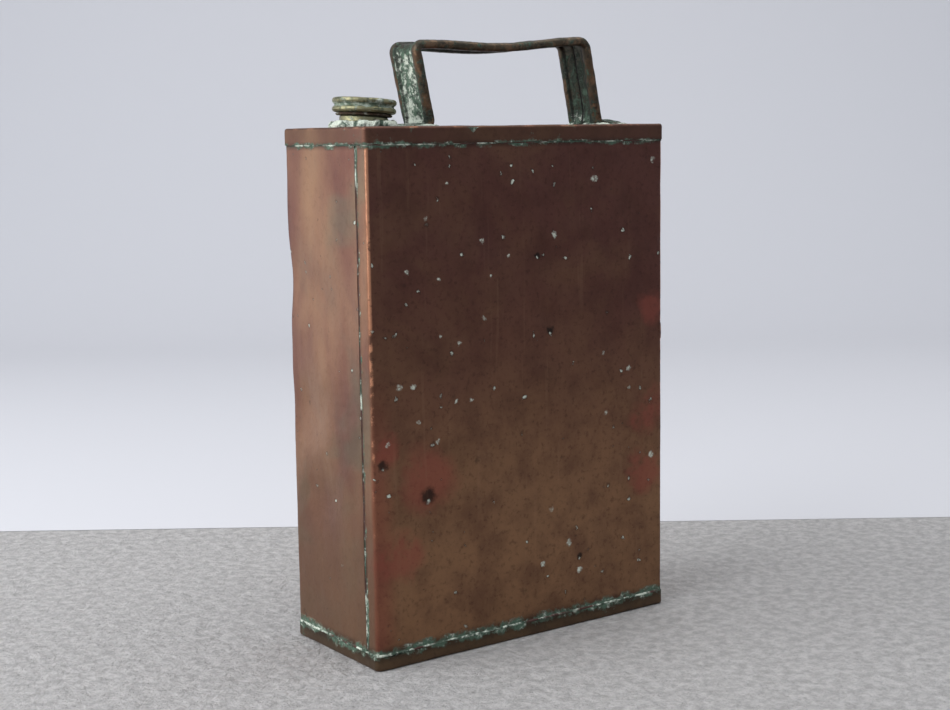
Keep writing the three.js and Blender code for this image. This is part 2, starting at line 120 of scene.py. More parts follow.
class HandleSettings(bpy.types.PropertyGroup):
    bead: length("Edge bead", "Thickness of the strap at its wired edges", 5.2)
    web: length("Web", "Thickness of the strap between its edges", 1.7)
    lean: length("Lean", "How far the legs lean towards the filler", 9.2)
    left_leg: length("Left leg from stopper", "Filler's axis to the left leg", 36.0)
    right_leg: length("Right leg inset", "Body's right side to the right leg", 22.6)
    rise: length("Rise", "Middle of the strap above the top plate, at the left bend", 43.3)
    slope: length("Slope", "Extra height of the right bend", 4.4)
    sag: length("Sag", "Dip in the middle of the grip", 2.6)


class FillerSettings(bpy.types.PropertyGroup):
    neck: length("Neck radius", "Radius of the filler neck", 13.0)
    neck_height: length("Neck height", "Height of the neck above the top plate", 5.5)
    washer: length("Washer", "Thickness of the leather washer", 1.2)
    head_height: length("Head height", "Height of the stopper's head", 7.6)
    pitch: length("Pitch", "Pitch of the stopper's thread", 3.0)


class ColourSettings(bpy.types.PropertyGroup):
    umber: colour("Dark patina", "Oldest, darkest copper patina", 100, 64, 56)
    # Olive low on the body is painted reflection of the floor; in blotches, on the ends and the strap's
    # edges it is patina.
    olive: colour("Olive patina", "Browner patina low on the body", 142, 106, 78)
    russet: colour("Russet patina", "Warm patches of thinner patina", 168, 92, 78)
    # Tan is mostly the painted reflection on the narrow sides; it also marks scratches on the front and
    # the strap's crests.
    tan: colour("Tan patina", "Thin, pale patina of the narrow sides", 164, 126, 98)
    # Rubbed copper also gives the painted highlight on the lap edges and, with real wear, on the
    # corners.
    bright: colour("Rubbed copper", "Copper rubbed bright on edges", 240, 170, 132)
    verdigris: colour("Verdigris", "Green corrosion", 82, 104, 86)
    bloom: colour("Bloom", "Pale, chalky corrosion", 208, 214, 198)
    # Soot also serves as painted shade: in dents, along seams, round flecks and in the strap's creases.
    soot_and_shade: colour("Soot", "Near-black dirt in corners", 34, 31, 28)
    brass: colour("Brass", "Tarnished brass of the filler", 172, 166, 128)
    leather: colour("Leather", "Oil-soaked leather", 84, 60, 42)
    iron: colour("Iron wire", "Wire in the handle's edges", 98, 88, 80)
    floor: colour("Floor", "Pale floor of the studio", 206, 202, 199)
    backdrop: colour("Backdrop", "Pale cloth behind the can", 214, 213, 216)


def settings():
    return bpy.context.scene.oil_can


class OilCanSettings(bpy.types.PropertyGroup):
    body: bpy.props.PointerProperty(type=BodySettings)
    handle: bpy.props.PointerProperty(type=HandleSettings)
    filler: bpy.props.PointerProperty(type=FillerSettings)
    colours: bpy.props.PointerProperty(type=ColourSettings)


# ------------------------------------------------------------------ modelling helpers
def deselect_all():
    if bpy.context.object is not None and bpy.context.object.mode != "OBJECT":
        bpy.ops.object.mode_set(mode="OBJECT")
    bpy.ops.object.select_all(action="DESELECT")


def edit_all():
    """Opens the active object for editing by its vertices, all of them selected."""
    bpy.ops.object.mode_set(mode="EDIT")
    bpy.ops.mesh.select_mode(type="VERT")
    bpy.ops.mesh.select_all(action="SELECT")


def start_block(low, high):
    """A cube primitive at its size and place, left in edit mode."""
    deselect_all()
    bpy.ops.mesh.primitive_cube_add(size=1, location=(low + high) / 2, scale=high - low)
    bpy.ops.object.transform_apply()
    bpy.ops.object.mode_set(mode="EDIT")


def start_plate(middle, width, depth):
    """A level rectangle at its size and place, left in edit mode and selected."""
    deselect_all()
    bpy.ops.mesh.primitive_plane_add(size=1, location=middle)
    bpy.ops.object.transform_apply()
    edit_all()
    bpy.ops.transform.resize(value=(width, depth, 1), center_override=middle)


def pick(kind, test):
    """In edit mode, selects just the verts, edges or faces whose middle and direction pass."""
    bpy.ops.mesh.select_mode(type=kind)
    bpy.ops.mesh.select_all(action="DESELECT")
    mesh = bmesh.from_edit_mesh(bpy.context.object.data)
    if kind == "VERT":
        for vert in mesh.verts:
            vert.select_set(test(vert.co, vert.normal))
    elif kind == "EDGE":
        for edge in mesh.edges:
            ends = [vert.co for vert in edge.verts]
            edge.select_set(test((ends[0] + ends[1]) / 2, ends[1] - ends[0]))
    else:
        for face in mesh.faces:
            face.select_set(test(face.calc_center_median(), face.normal))
    mesh.select_flush_mode()
    bmesh.update_edit_mesh(bpy.context.object.data)


def runs_along(direction, axis):
    """True for an edge that runs along an axis: 0, 1 or 2."""
    return abs(direction[axis]) > 0.95 * direction.length


def cut_across(axis, cuts, where=lambda middle: True):
    """Divides the edges that run along an axis, which cuts the sheet across it."""
    pick("EDGE", lambda middle, way: runs_along(way, axis) and where(middle))
    bpy.ops.mesh.subdivide(number_cuts=cuts)


def delete_faces(test):
    pick("FACE", test)
    bpy.ops.mesh.delete(type="FACE")


def apply_modifier(kind, **values):
    """Adds a modifier to the active object, sets it and applies it."""
    if bpy.context.object.mode != "OBJECT":
        bpy.ops.object.mode_set(mode="OBJECT")
    modifier = bpy.context.object.modifiers.new(kind.title(), kind)
    for name, value in values.items():
        setattr(modifier, name, value)
    bpy.ops.object.modifier_apply(modifier=modifier.name)


def weigh(name, rule):
    """A vertex group on the active object, with each vertex weighed by the rule."""
    if bpy.context.object.mode != "OBJECT":
        bpy.ops.object.mode_set(mode="OBJECT")
    piece = bpy.context.object
    group = piece.vertex_groups.new(name=name)
    for vert in piece.data.vertices:
        group.add([vert.index], min(1.0, max(0.0, rule(vert.co))), "REPLACE")
    return group.name


def roughen(depth, grain, direction="NORMAL", group="", seed=0.0):
    """Uneven displacement of the active object: depth is peak to peak, grain is its size."""
    cloud = bpy.data.textures.new("unevenness", "CLOUDS")
    cloud.noise_scale = grain
    cloud.noise_depth = 2
    shift = bpy.data.objects.new("unevenness_place", None)
    bpy.context.scene.collection.objects.link(shift)
    shift.location = (seed, -seed / 2, seed / 3)
    bpy.context.view_layer.update()
    apply_modifier(
        "DISPLACE",
        texture=cloud,
        texture_coords="OBJECT",
        texture_coords_object=shift,
        direction=direction,
        vertex_group=group,
        strength=depth,
        mid_level=0.5,
    )
    bpy.data.objects.remove(shift)
    bpy.data.textures.remove(cloud)


def smooth_step(value, low, high):
    share = min(1.0, max(0.0, (value - low) / (high - low)))
    return share * share * (3 - 2 * share)


def push(point, offset, reach):
    """Moves the vertex nearest a point, and its neighbours with it, fading over a reach."""
    bpy.ops.object.mode_set(mode="OBJECT")
    mesh = bpy.context.object.data
    nearest = min(mesh.vertices, key=lambda vert: (vert.co - point).length_squared)
    spot = nearest.co.copy()
    bpy.ops.object.mode_set(mode="EDIT")
    pick("VERT", lambda co, normal: (co - spot).length < 1e-7)
    bpy.ops.transform.translate(
        value=offset,
        use_proportional_edit=True,
        proportional_edit_falloff="SMOOTH",
        proportional_size=reach,
    )


def finish_piece(name, body, node, slot, angle=40):
    """Names the active object, gives it its finish and ties it to the frame."""
    bpy.ops.object.mode_set(mode="OBJECT")
    piece = bpy.context.object
    bpy.ops.object.transform_apply()
    piece.vertex_groups.clear()
    piece.name = name
    piece.data.name = name
    piece.data.materials.clear()
    piece.data.materials.append(finish_of(slot))
    bpy.ops.object.shade_smooth_by_angle(angle=math.radians(angle))
    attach(piece, body)
    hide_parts(node)


# ------------------------------------------------------------------ material helpers
class Finish:
    """A material's node tree, with short calls for the nodes that the finishes use."""

    def __init__(self, name, metallic, roughness):
        self.material = bpy.data.materials.new(name)
        self.material.use_nodes = True
        self.tree = self.material.node_tree
        self.shader = self.tree.nodes["Principled BSDF"]
        self.shader.inputs["Metallic"].default_value = metallic
        self.shader.inputs["Roughness"].default_value = roughness
        self.place = self.tree.nodes.new("ShaderNodeTexCoord").outputs["Object"]

    def link(self, source, socket):
        if isinstance(source, bpy.types.NodeSocket):
            self.tree.links.new(source, socket)
        elif socket.type == "RGBA":
            socket.default_value = (*source, 1.0)
        else:
            socket.default_value = source

    def node(self, kind, **values):
        made = self.tree.nodes.new(kind)
        for name, value in values.items():
            setattr(made, name, value)
        return made

    def stretched(self, scale, shift=(0.0, 0.0, 0.0)):
        made = self.node("ShaderNodeMapping")
        self.link(self.place, made.inputs["Vector"])
        made.inputs["Scale"].default_value = scale
        made.inputs["Location"].default_value = shift
        return made.outputs["Vector"]

    def shaken(self, grain, reach):
        """Places moved about by noise, which makes whatever is read there ragged."""
        made = self.node("ShaderNodeTexNoise")
        self.link(self.place, made.inputs["Vector"])
        made.inputs["Scale"].default_value = 0.5 / grain
        made.inputs["Detail"].default_value = 5.0
        made.inputs["Roughness"].default_value = 0.65
        shift = self.node("ShaderNodeVectorMath", operation="SUBTRACT")
        self.link(made.outputs["Color"], shift.inputs[0])
        shift.inputs[1].default_value = (0.5, 0.5, 0.5)
        moved = self.node("ShaderNodeVectorMath", operation="MULTIPLY_ADD")
        self.link(shift.outputs["Vector"], moved.inputs[0])
        moved.inputs[1].default_value = (2 * reach, 2 * reach, 2 * reach)
        self.link(self.place, moved.inputs[2])
        return moved.outputs["Vector"]

    def noise(self, grain, detail=4.0, rough=0.55, warp=0.0, place=None):
        """Noise from 0 to 1 whose features are about a grain across, in metres."""
        made = self.node("ShaderNodeTexNoise")
        self.link(place or self.place, made.inputs["Vector"])
        made.inputs["Scale"].default_value = 0.5 / grain
        made.inputs["Detail"].default_value = detail
        made.inputs["Roughness"].default_value = rough
        made.inputs["Distortion"].default_value = warp
        return made.outputs["Fac"]

    def cells(self, grain, place=None):
        """Distance to scattered points, in cell widths, and each point's own random colour."""
        made = self.node("ShaderNodeTexVoronoi")
        self.link(place or self.place, made.inputs["Vector"])
        made.inputs["Scale"].default_value = 1.0 / grain
        return made.outputs["Distance"], made.outputs["Color"]

    def maths(self, operation, first, second=None, clamp=False):
        made = self.node("ShaderNodeMath", operation=operation, use_clamp=clamp)
        self.link(first, made.inputs[0])
        if second is not None:
            self.link(second, made.inputs[1])
        return made.outputs["Value"]

    def between(self, value, low, high):
        """0 below low, 1 above high, smooth in between; turned round if high is the lower."""
        made = self.node("ShaderNodeMapRange", interpolation_type="SMOOTHSTEP")
        self.link(value, made.inputs["Value"])
        turned = high < low
        made.inputs["From Min"].default_value = high if turned else low
        made.inputs["From Max"].default_value = low if turned else high
        made.inputs["To Min"].default_value = 1.0 if turned else 0.0
        made.inputs["To Max"].default_value = 0.0 if turned else 1.0
        return made.outputs["Result"]

    def both(self, first, second):
        return self.maths("MULTIPLY", first, second)

    def either(self, first, second):
        return self.maths("MAXIMUM", first, second)

    def mix(self, share, first, second):
        made = self.node("ShaderNodeMix", data_type="RGBA")
        self.link(share, made.inputs["Factor"])
        self.link(first, made.inputs[6])
        self.link(second, made.inputs[7])
        return made.outputs[2]

    def blend(self, share, first, second):
        made = self.node("ShaderNodeMix", data_type="FLOAT")
        self.link(share, made.inputs["Factor"])
        self.link(first, made.inputs[2])
        self.link(second, made.inputs[3])
        return made.outputs[0]

    def axes(self):
        made = self.node("ShaderNodeSeparateXYZ")
        self.link(self.place, made.inputs["Vector"])
        return made.outputs["X"], made.outputs["Y"], made.outputs["Z"]

    def near(self, point, radius, place=None):
        """1 at a point, fading to 0 a radius away."""
        distance = self.node("ShaderNodeVectorMath", operation="DISTANCE")
        self.link(place or self.place, distance.inputs[0])
        distance.inputs[1].default_value = point
        return self.between(distance.outputs["Value"], radius, 0.4 * radius)

    def flecks(self, grain, share, radius, place):
        """Scattered flecks: the share of cells that hold one, and its radius in cells."""
        distance, own = self.cells(grain, place)
        chance = self.node("ShaderNodeSeparateColor")
        self.link(own, chance.inputs["Color"])
        chosen = self.between(chance.outputs["Red"], 1 - share, 1 - share + 0.01)
        size = self.maths("MULTIPLY", chance.outputs["Green"], radius)
        inside = self.maths("SUBTRACT", distance, size)
        fleck = self.both(chosen, self.between(inside, 0.04, -0.02))
        halo = self.both(chosen, self.between(inside, 0.13, 0.02))
        return fleck, halo

    def bump(self, *layers):
        """Stacks (height, depth in metres) layers and joins them to the shader."""
        normal = None
        for height, depth in layers:
            made = self.node("ShaderNodeBump")
            made.inputs["Distance"].default_value = depth
            self.link(height, made.inputs["Height"])
            if normal is not None:
                self.link(normal, made.inputs["Normal"])
            normal = made.outputs["Normal"]
        self.link(normal, self.shader.inputs["Normal"])

    def paint(self, base=None, metallic=None, roughness=None):
        for name, source in (
            ("Base Color", base),
            ("Metallic", metallic),
            ("Roughness", roughness),
        ):
            if source is not None:
                self.link(source, self.shader.inputs[name])
        return self.material


def tone(colour_value, factor):
    return tuple(min(1.0, channel * factor) for channel in colour_value)


# ------------------------------------------------------------------ finishes
# The larger marks on the front face: across, height and radius, in millimetres.
FRONT_MARKS = (
    (49, 255, 2.6),
    (20, 225, 2.6),
    (-83, 150, 2.4),
    (-51, 255, 1.5),
    (-65, 237, 1.5),
    (-29, 224, 1.4),
    (-11, 215, 1.6),
    (-78, 210, 1.6),
    (-24, 205, 1.3),
    (-57, 205, 1.6),
    (-28, 182, 1.7),
    (-57, 175, 1.6),
    (-45, 170, 1.5),
    (-75, 150, 1.9),
    (-47, 139, 1.7),
    (-37, 139, 1.5),
    (-72, 131, 1.4),
    (-60, 119, 1.7),
    (-91, 121, 1.6),
    (55, 156, 1.5),
    (74, 145, 1.9),
    (57, 121, 1.7),
    (92, 92, 2.4),
    (29, 49, 2.4),
    (10, 40, 1.9),
    (37, 32, 2.3),
    (17, 70, 1.8),
    (93, 265, 2.2),
)
# Warm patches on the front face: across, height and radius, in millimetres.
RUSSET_PATCHES = (
    (-66, 98, 17),
    (-90, 116, 8),
    (-84, 60, 13),
    (90, 118, 13),
    (93, 180, 10),
    (86, 84, 12),
)
# Dents darkened with painted shade, with a pale edge below them.
HOLLOWS = ((-66, 90, 6.5), (-94, 110, 4), (8, 214, 3), (17, 172, 3.5), (37, 40, 3))


def patina(finish):
    """Brown patina, clouded and grimy, lighter olive low down and paler on the narrow sides as painted
    reflection: its colour, and how grimy it is.
    """
    paints = settings().colours
    height = finish.axes()[2]
    # Painted reflection of the floor: the patina turns to the lighter olive low on the body.
    low_down = finish.between(
        finish.maths("ADD", height, finish.both(finish.noise(0.08), 0.14)), 0.28, 0.12
    )
    ground = finish.mix(low_down, paints.umber, paints.olive)
    blotches = finish.between(finish.noise(0.03, 5.0, 0.6, 0.6), 0.42, 0.68)
    ground = finish.mix(finish.both(blotches, 0.4), ground, tone(paints.olive, 0.75))
    clouds = finish.between(finish.noise(0.011, 6.0, 0.65), 0.38, 0.7)
    ground = finish.mix(finish.both(clouds, 0.5), ground, tone(paints.umber, 0.6))
    # Painted reflection: the narrow sides take a paler, wavy colour of their own, darker towards the
    # bottom, for the bright room they mirror.
    narrow = on_narrow_side(finish)
    tall = finish.stretched((1.0, 1.0, 0.4))
    pale = finish.mix(
        finish.between(finish.noise(0.026, 3.0, 0.5, 0.3, place=tall), 0.34, 0.7),
        tone(paints.tan, 0.94),
        tone(paints.umber, 1.5),
    )
    smoky = finish.between(finish.noise(0.024, 3.0, 0.5, 0.4), 0.5, 0.68)
    pale = finish.mix(finish.both(smoky, 0.3), pale, tone(paints.verdigris, 1.35))
    low = finish.both(finish.between(height, 0.13, 0.03), 0.75)
    pale = finish.mix(low, pale, tone(paints.tan, 0.66))
    ground = finish.mix(narrow, ground, pale)
    grime = finish.between(finish.noise(0.0016, 5.0, 0.7), 0.5, 0.68)
    grime = finish.both(grime, finish.blend(narrow, 1.0, 0.3))
    ground = finish.mix(finish.both(grime, 0.4), ground, tone(paints.umber, 0.45))
    return ground, grime


def on_narrow_side(finish):
    """1 on the two narrow sides of the body, 0 on its broad faces."""
    across, depth, _ = finish.axes()
    return finish.both(
        finish.between(finish.maths("ABSOLUTE", across), BODY_HIGH.x - 8 * MM, BODY_HIGH.x - 4 * MM),
        finish.between(finish.maths("ABSOLUTE", depth), BODY_HIGH.y - 0.4 * MM, BODY_HIGH.y - 2.4 * MM),
    )


def corrosion(finish, green_share=0.5):
    """Chalky white and green corrosion with dark pits."""
    paints = settings().colours
    patches = finish.between(finish.noise(0.0016, 4.0, 0.65), 0.7 - 0.4 * green_share, 0.75)
    ground = finish.mix(patches, paints.verdigris, paints.bloom)
    pits = finish.between(finish.noise(0.0009, 4.0, 0.7), 0.52, 0.64)
    return finish.mix(finish.both(pits, 0.6), ground, tone(paints.verdigris, 0.35))


def shell_copper():
    """Old patina on the body: brown, blotched, spotted with verdigris, rubbed bright on its corners,
    with painted highlights on the corners and lap edges and painted shade in dents, along seams and
    round flecks.
    """
    paints = settings().colours
    finish = Finish("shell_copper_patina", 0.85, 0.4)
    across, depth, height = finish.axes()
    ground, grime = patina(finish)
    ragged = finish.shaken(0.011, 0.012)
    warm = 0.0
    for patch_across, patch_height, radius in RUSSET_PATCHES:
        point = Vector((patch_across, BODY_LOW.y / MM, patch_height)) * MM
        warm = finish.either(warm, finish.near(point, 1.3 * radius * MM, ragged))
    thin = finish.between(finish.noise(0.009, 5.0, 0.65), 0.3, 0.5)
    ground = finish.mix(finish.both(finish.both(warm, thin), 0.6), ground, tone(paints.russet, 0.8))
    left_strip = finish.both(
        finish.between(across, BODY_LOW.x + 0.016, BODY_LOW.x + 0.003),
        finish.both(finish.between(height, 0.17, 0.1), finish.between(depth, -0.038, -0.041)),
    )
    ground = finish.mix(finish.both(left_strip, 0.45), ground, tone(paints.russet, 0.75))
    narrow = on_narrow_side(finish)
    # Painted highlight: a thin bright line where the front shell's lap edge catches the light on the
    # narrow sides.
    lap = finish.both(narrow, finish.between(depth, LAP_EDGE + 0.0004, LAP_EDGE - 0.0004))
    lap = finish.both(lap, finish.between(height, 0.08, 0.24))
    upright = finish.stretched((1.0, 1.0, 0.12))
    lap = finish.both(lap, finish.between(finish.noise(0.006, 4.0, 0.6, place=upright), 0.3, 0.7))
    ground = finish.mix(finish.both(lap, 0.7), ground, tone(paints.bright, 0.42))
    jagged = finish.shaken(0.002, 0.003)
    hollows = 0.0
    edges = 0.0
    for hollow_across, hollow_height, radius in HOLLOWS:
        point = Vector((hollow_across, BODY_LOW.y / MM, hollow_height)) * MM
        hollows = finish.either(hollows, finish.near(point, radius * MM, jagged))
        rim = point - Vector((0, 0, 0.5 * radius * MM))
        edges = finish.either(edges, finish.near(rim, 0.32 * radius * MM, jagged))
    # Painted shade inside the dents.
    ground = finish.mix(finish.both(hollows, 0.85), ground, paints.soot_and_shade)
    streaks = finish.between(
        finish.noise(0.003, 3.0, 0.6, place=finish.stretched((1.0, 1.0, 0.05))), 0.58, 0.7
    )
    ground = finish.mix(finish.both(streaks, 0.12), ground, paints.tan)

    # Rubbed copper on the round of each upright corner, where its highlight falls, fading downwards:
    # real wear together with a painted highlight.
    arris = finish.both(
        finish.between(finish.maths("ABSOLUTE", across), BODY_HIGH.x - 0.0019, BODY_HIGH.x - 0.0009),
        finish.between(finish.maths("ABSOLUTE", depth), BODY_HIGH.y - 0.0019, BODY_HIGH.y - 0.0009),
    )
    wear_and_highlight = finish.maths("ADD", finish.noise(0.003, 5.0, 0.7), finish.both(height, 1.7))
    rubbed = finish.both(arris, finish.between(wear_and_highlight, 0.72, 0.86))
    ground = finish.mix(finish.both(rubbed, 0.8), ground, tone(paints.bright, 0.85))

    marks = edges
    for mark_across, mark_height, radius in FRONT_MARKS:
        point = Vector((mark_across, BODY_LOW.y / MM, mark_height)) * MM
        marks = finish.either(marks, finish.near(point, radius * MM, jagged))
    large, large_halos = finish.flecks(0.015, 0.34, 0.11, jagged)
    small, small_halos = finish.flecks(0.007, 0.32, 0.14, jagged)
    marks = finish.either(marks, finish.either(large, small))
    broken = finish.between(finish.noise(0.0012, 4.0, 0.72, 0.4), 0.43, 0.54)
    marks = finish.both(marks, finish.blend(broken, 0.3, 1.0))
    halos = finish.either(large_halos, small_halos)

    top_seam = finish.between(height, TOP_LOW.z - 0.0035, TOP_LOW.z)
    base_seam = finish.between(height, BASE_HIGH.z + 0.006, BASE_HIGH.z + 0.0005)
    behind_lap = finish.maths("SUBTRACT", depth, LAP_EDGE)
    near_lap = finish.between(finish.maths("ABSOLUTE", behind_lap), 0.0022, 0.0004)
    lap_ends = finish.either(
        finish.between(height, 0.075, 0.02), finish.between(height, 0.24, 0.27)
    )
    seams = finish.either(finish.both(top_seam, 0.8), base_seam)
    seams = finish.either(seams, finish.both(near_lap, finish.blend(lap_ends, 0.35, 0.95)))
    growth = finish.maths("ADD", finish.noise(0.004, 6.0, 0.7), finish.both(seams, 0.2))
    crust = finish.both(finish.between(seams, 0.02, 0.2), finish.between(growth, 0.54, 0.72))
    # Painted shadow along the seams, and a ring of painted shade round each fleck for the dent beside
    # it.
    shadow = finish.both(seams, 0.75)
    ground = finish.mix(finish.either(shadow, finish.both(halos, 0.5)), ground, paints.soot_and_shade)
    corroded = finish.either(marks, crust)
    ground = finish.mix(crust, ground, corrosion(finish))
    ground = finish.mix(finish.both(marks, 0.85), ground, tone(paints.bloom, 1.1))

    shine = finish.blend(finish.noise(0.018, 5.0, 0.6), 0.24, 0.46)
    shine = finish.blend(finish.both(grime, 0.5), shine, 0.65)
    finish.paint(
        base=ground,
        metallic=finish.blend(corroded, 0.86, 0.0),
        roughness=finish.blend(corroded, finish.blend(rubbed, shine, 0.28), 0.9),
    )
    finish.bump(
        (finish.noise(0.02, 3.0), 0.0011),
        (finish.noise(0.0045, 4.0, 0.6), 0.00022),
        (finish.noise(0.0016, 4.0, 0.6), 0.00006),
        (corroded, 0.0003),
    )
    return finish.material


def end_copper():
    """The two ends: painted shade and more corrosion towards the seams, rubbed bright on their rims."""
    paints = settings().colours
    finish = Finish("end_copper_patina", 0.8, 0.45)
    across, depth, height = finish.axes()
    ground = patina(finish)[0]
    ground = finish.mix(finish.both(finish.noise(0.014, 5.0), 0.8), ground, tone(paints.olive, 0.3))

    size = finish.maths("ABSOLUTE", across)
    deep = finish.maths("ABSOLUTE", depth)
    side_rim = finish.either(
        finish.between(size, TOP_HIGH.x - 0.0022, TOP_HIGH.x - 0.0005),
        finish.between(deep, TOP_HIGH.y - 0.0022, TOP_HIGH.y - 0.0005),
    )
    level_rim = finish.either(
        finish.between(height, PLATE - 0.0016, PLATE - 0.0004),
        finish.between(height, 0.0016, 0.0004),
    )
    rim = finish.both(side_rim, level_rim)
    worn = finish.both(rim, finish.between(finish.noise(0.005, 5.0, 0.65), 0.5, 0.64))
    ground = finish.mix(finish.both(worn, 0.5), ground, tone(paints.bright, 0.7))

    by_top = finish.both(
        finish.between(height, 0.2, 0.25), finish.between(height, TOP_LOW.z + 0.0022, TOP_LOW.z)
    )
    by_base = finish.both(
        finish.between(height, 0.05, 0.03),
        finish.between(height, BASE_HIGH.z - 0.0045, BASE_HIGH.z - 0.0005),
    )
    by_floor = finish.between(height, 0.03, 0.02)
    ground = finish.mix(finish.both(by_floor, 0.4), ground, tone(paints.verdigris, 0.28))
    seams = finish.either(finish.both(by_top, 0.8), by_base)
    growth = finish.maths("ADD", finish.noise(0.005, 6.0, 0.72), finish.both(seams, 0.17))
    crust = finish.between(growth, 0.58, 0.72)
    scattered = finish.flecks(0.009, 0.14, 0.09, finish.shaken(0.002, 0.002))[0]
    crust = finish.either(crust, scattered)
    # Painted shade along the seams.
    ground = finish.mix(finish.both(seams, 0.5), ground, paints.soot_and_shade)
    ground = finish.mix(crust, ground, corrosion(finish))
    finish.paint(
        base=ground,
        metallic=finish.blend(crust, 0.8, 0.0),
        roughness=finish.blend(crust, finish.blend(finish.noise(0.01), 0.32, 0.58), 0.9),
    )
    finish.bump(
        (finish.noise(0.012, 3.0), 0.0008),
        (finish.noise(0.0015, 4.0, 0.6), 0.0001),
        (crust, 0.0003),
    )
    return finish.material


def seam_solder():
    """Old solder: dark runs on the seams, chalky white and green lumps on the top plate."""
    paints = settings().colours
    finish = Finish("solder_verdigris", 0.1, 0.85)
    height = finish.axes()[2]
    on_plate = finish.between(height, PLATE - 0.001, PLATE + 0.0006)
    on_base = finish.between(height, BASE_HIGH.z + 0.02, BASE_HIGH.z + 0.004)
    chalk = finish.either(on_plate, finish.both(on_base, 0.5))
    patches = finish.maths("ADD", finish.noise(0.004, 6.0, 0.68, 0.5), finish.both(on_plate, 0.07))
    ground = finish.mix(
        finish.between(patches, 0.46, 0.6), tone(paints.verdigris, 0.65), tone(paints.bloom, 1.15)
    )
    on_top_seam = finish.both(
        finish.between(height, TOP_LOW.z - 0.003, TOP_LOW.z - 0.002),
        finish.between(height, TOP_LOW.z + 0.002, TOP_LOW.z + 0.001),
    )
    chalk = finish.either(chalk, finish.both(on_top_seam, 0.8))
    patches = finish.maths("ADD", patches, finish.both(on_top_seam, 0.07))
    bare = finish.maths("SUBTRACT", finish.noise(0.009, 5.0), finish.both(chalk, 0.14))
    ground = finish.mix(finish.between(bare, 0.43, 0.52), ground, tone(paints.umber, 0.7))
    pits = finish.between(finish.noise(0.0011, 5.0, 0.75), 0.53, 0.66)
    ground = finish.mix(finish.both(pits, 0.75), ground, paints.soot_and_shade)
    finish.paint(base=ground, roughness=finish.blend(finish.noise(0.003), 0.5, 0.95))
    finish.bump(
        (finish.noise(0.0028, 4.0, 0.6), 0.0007),
        (finish.noise(0.0007, 4.0, 0.7), 0.0002),
    )
    return finish.material


def handle_copper():
    """The strap: dark on the grip, green and flaking on the legs, dirty, with painted shade beside its
    beads and along its inner seam, and tan on the bead crests that is partly painted highlight.
    """
    paints = settings().colours
    handle = settings().handle
    finish = Finish("handle_copper_verdigris", 0.6, 0.5)
    across, depth, height = finish.axes()
    deep = finish.maths("ABSOLUTE", depth)
    web_edge = STRAP_HIGH.y - handle.bead
    ground = finish.mix(
        finish.noise(0.006, 5.0, 0.65), tone(paints.umber, 0.5), tone(paints.verdigris, 0.6)
    )
    edges = finish.between(deep, web_edge, web_edge + 0.0012)
    down_leg = finish.between(height, PLATE + 0.047, PLATE + 0.036)
    browned = finish.both(edges, finish.between(finish.noise(0.006, 5.0), 0.36, 0.56))
    browned = finish.both(browned, finish.blend(down_leg, 0.35, 0.8))
    ground = finish.mix(browned, ground, tone(paints.olive, 0.48))
    # Tan on the outer bead crests, broken by noise: partly wear, partly a painted highlight.
    crest = finish.both(
        finish.between(deep, STRAP_HIGH.y - 0.003, STRAP_HIGH.y - 0.001),
        finish.between(finish.noise(0.003, 5.0, 0.7), 0.5, 0.62),
    )
    ground = finish.mix(finish.both(crest, 0.3), ground, paints.tan)
    left = finish.between(across, 0.03, -0.03)
    reach = finish.both(down_leg, finish.blend(edges, 1.0, 0.12))
    spread = finish.both(finish.blend(left, 0.055, 0.17), reach)
    mottle = finish.blend(0.45, finish.noise(0.0045, 6.0, 0.74, 0.3), finish.noise(0.0013, 5.0, 0.75))
    growth = finish.maths("ADD", mottle, spread)
    low_leg = finish.both(finish.between(height, PLATE + 0.012, PLATE), 0.08)
    growth = finish.maths("ADD", growth, low_leg)
    green = finish.between(growth, 0.52, 0.6)
    ground = finish.mix(green, ground, paints.verdigris)
    deep_green = finish.between(finish.noise(0.0026, 6.0, 0.8, 0.3), 0.46, 0.56)
    ground = finish.mix(finish.both(green, finish.both(deep_green, 0.8)), ground, paints.soot_and_shade)
    ground = finish.mix(finish.between(growth, 0.65, 0.74), ground, tone(paints.bloom, 1.0))
    dirt = finish.between(finish.noise(0.0018, 5.0, 0.7), 0.56, 0.66)
    # Painted shade in the crease beside each bead and, on the faces looking into the loop, along the
    # inner seam; the fine dirt joins it.
    crease = finish.between(
        finish.maths("ABSOLUTE", finish.maths("SUBTRACT", deep, web_edge - 0.0006)), 0.0011, 0.0003
    )
    dirt_and_shade = finish.either(finish.both(dirt, 0.7), finish.both(crease, 0.7))
    seam_line = finish.both(inward(finish), finish.between(deep, 0.0009, 0.0004))
    dirt_and_shade = finish.either(dirt_and_shade, seam_line)
    ground = finish.mix(dirt_and_shade, ground, paints.soot_and_shade)
    finish.paint(
        base=ground,
        metallic=finish.blend(green, 0.75, 0.0),
        roughness=finish.blend(green, finish.blend(finish.noise(0.004), 0.3, 0.55), 0.88),
    )
    finish.bump(
        (finish.noise(0.004, 4.0), 0.0005),
        (finish.noise(0.001, 4.0, 0.7), 0.00014),
        (green, 0.0003),
    )
    return finish.material


def inward(finish):
    """1 on the strap's faces that look into its loop."""
    middle = (STRAP_LOW + STRAP_HIGH) / 2
    to_middle = finish.node("ShaderNodeVectorMath", operation="SUBTRACT")
    to_middle.inputs[0].default_value = (middle.x - 0.01, 0.0, PLATE + 0.02)
    finish.link(finish.place, to_middle.inputs[1])
    facing = finish.node("ShaderNodeVectorMath", operation="DOT_PRODUCT")
    finish.link(to_middle.outputs["Vector"], facing.inputs[0])
    finish.link(finish.node("ShaderNodeNewGeometry").outputs["Normal"], facing.inputs[1])
    return finish.between(facing.outputs["Value"], 0.0, 0.004)


WAIST_HEIGHT = 0.0111  # of the stopper's waist above the plate, along the filler's axis


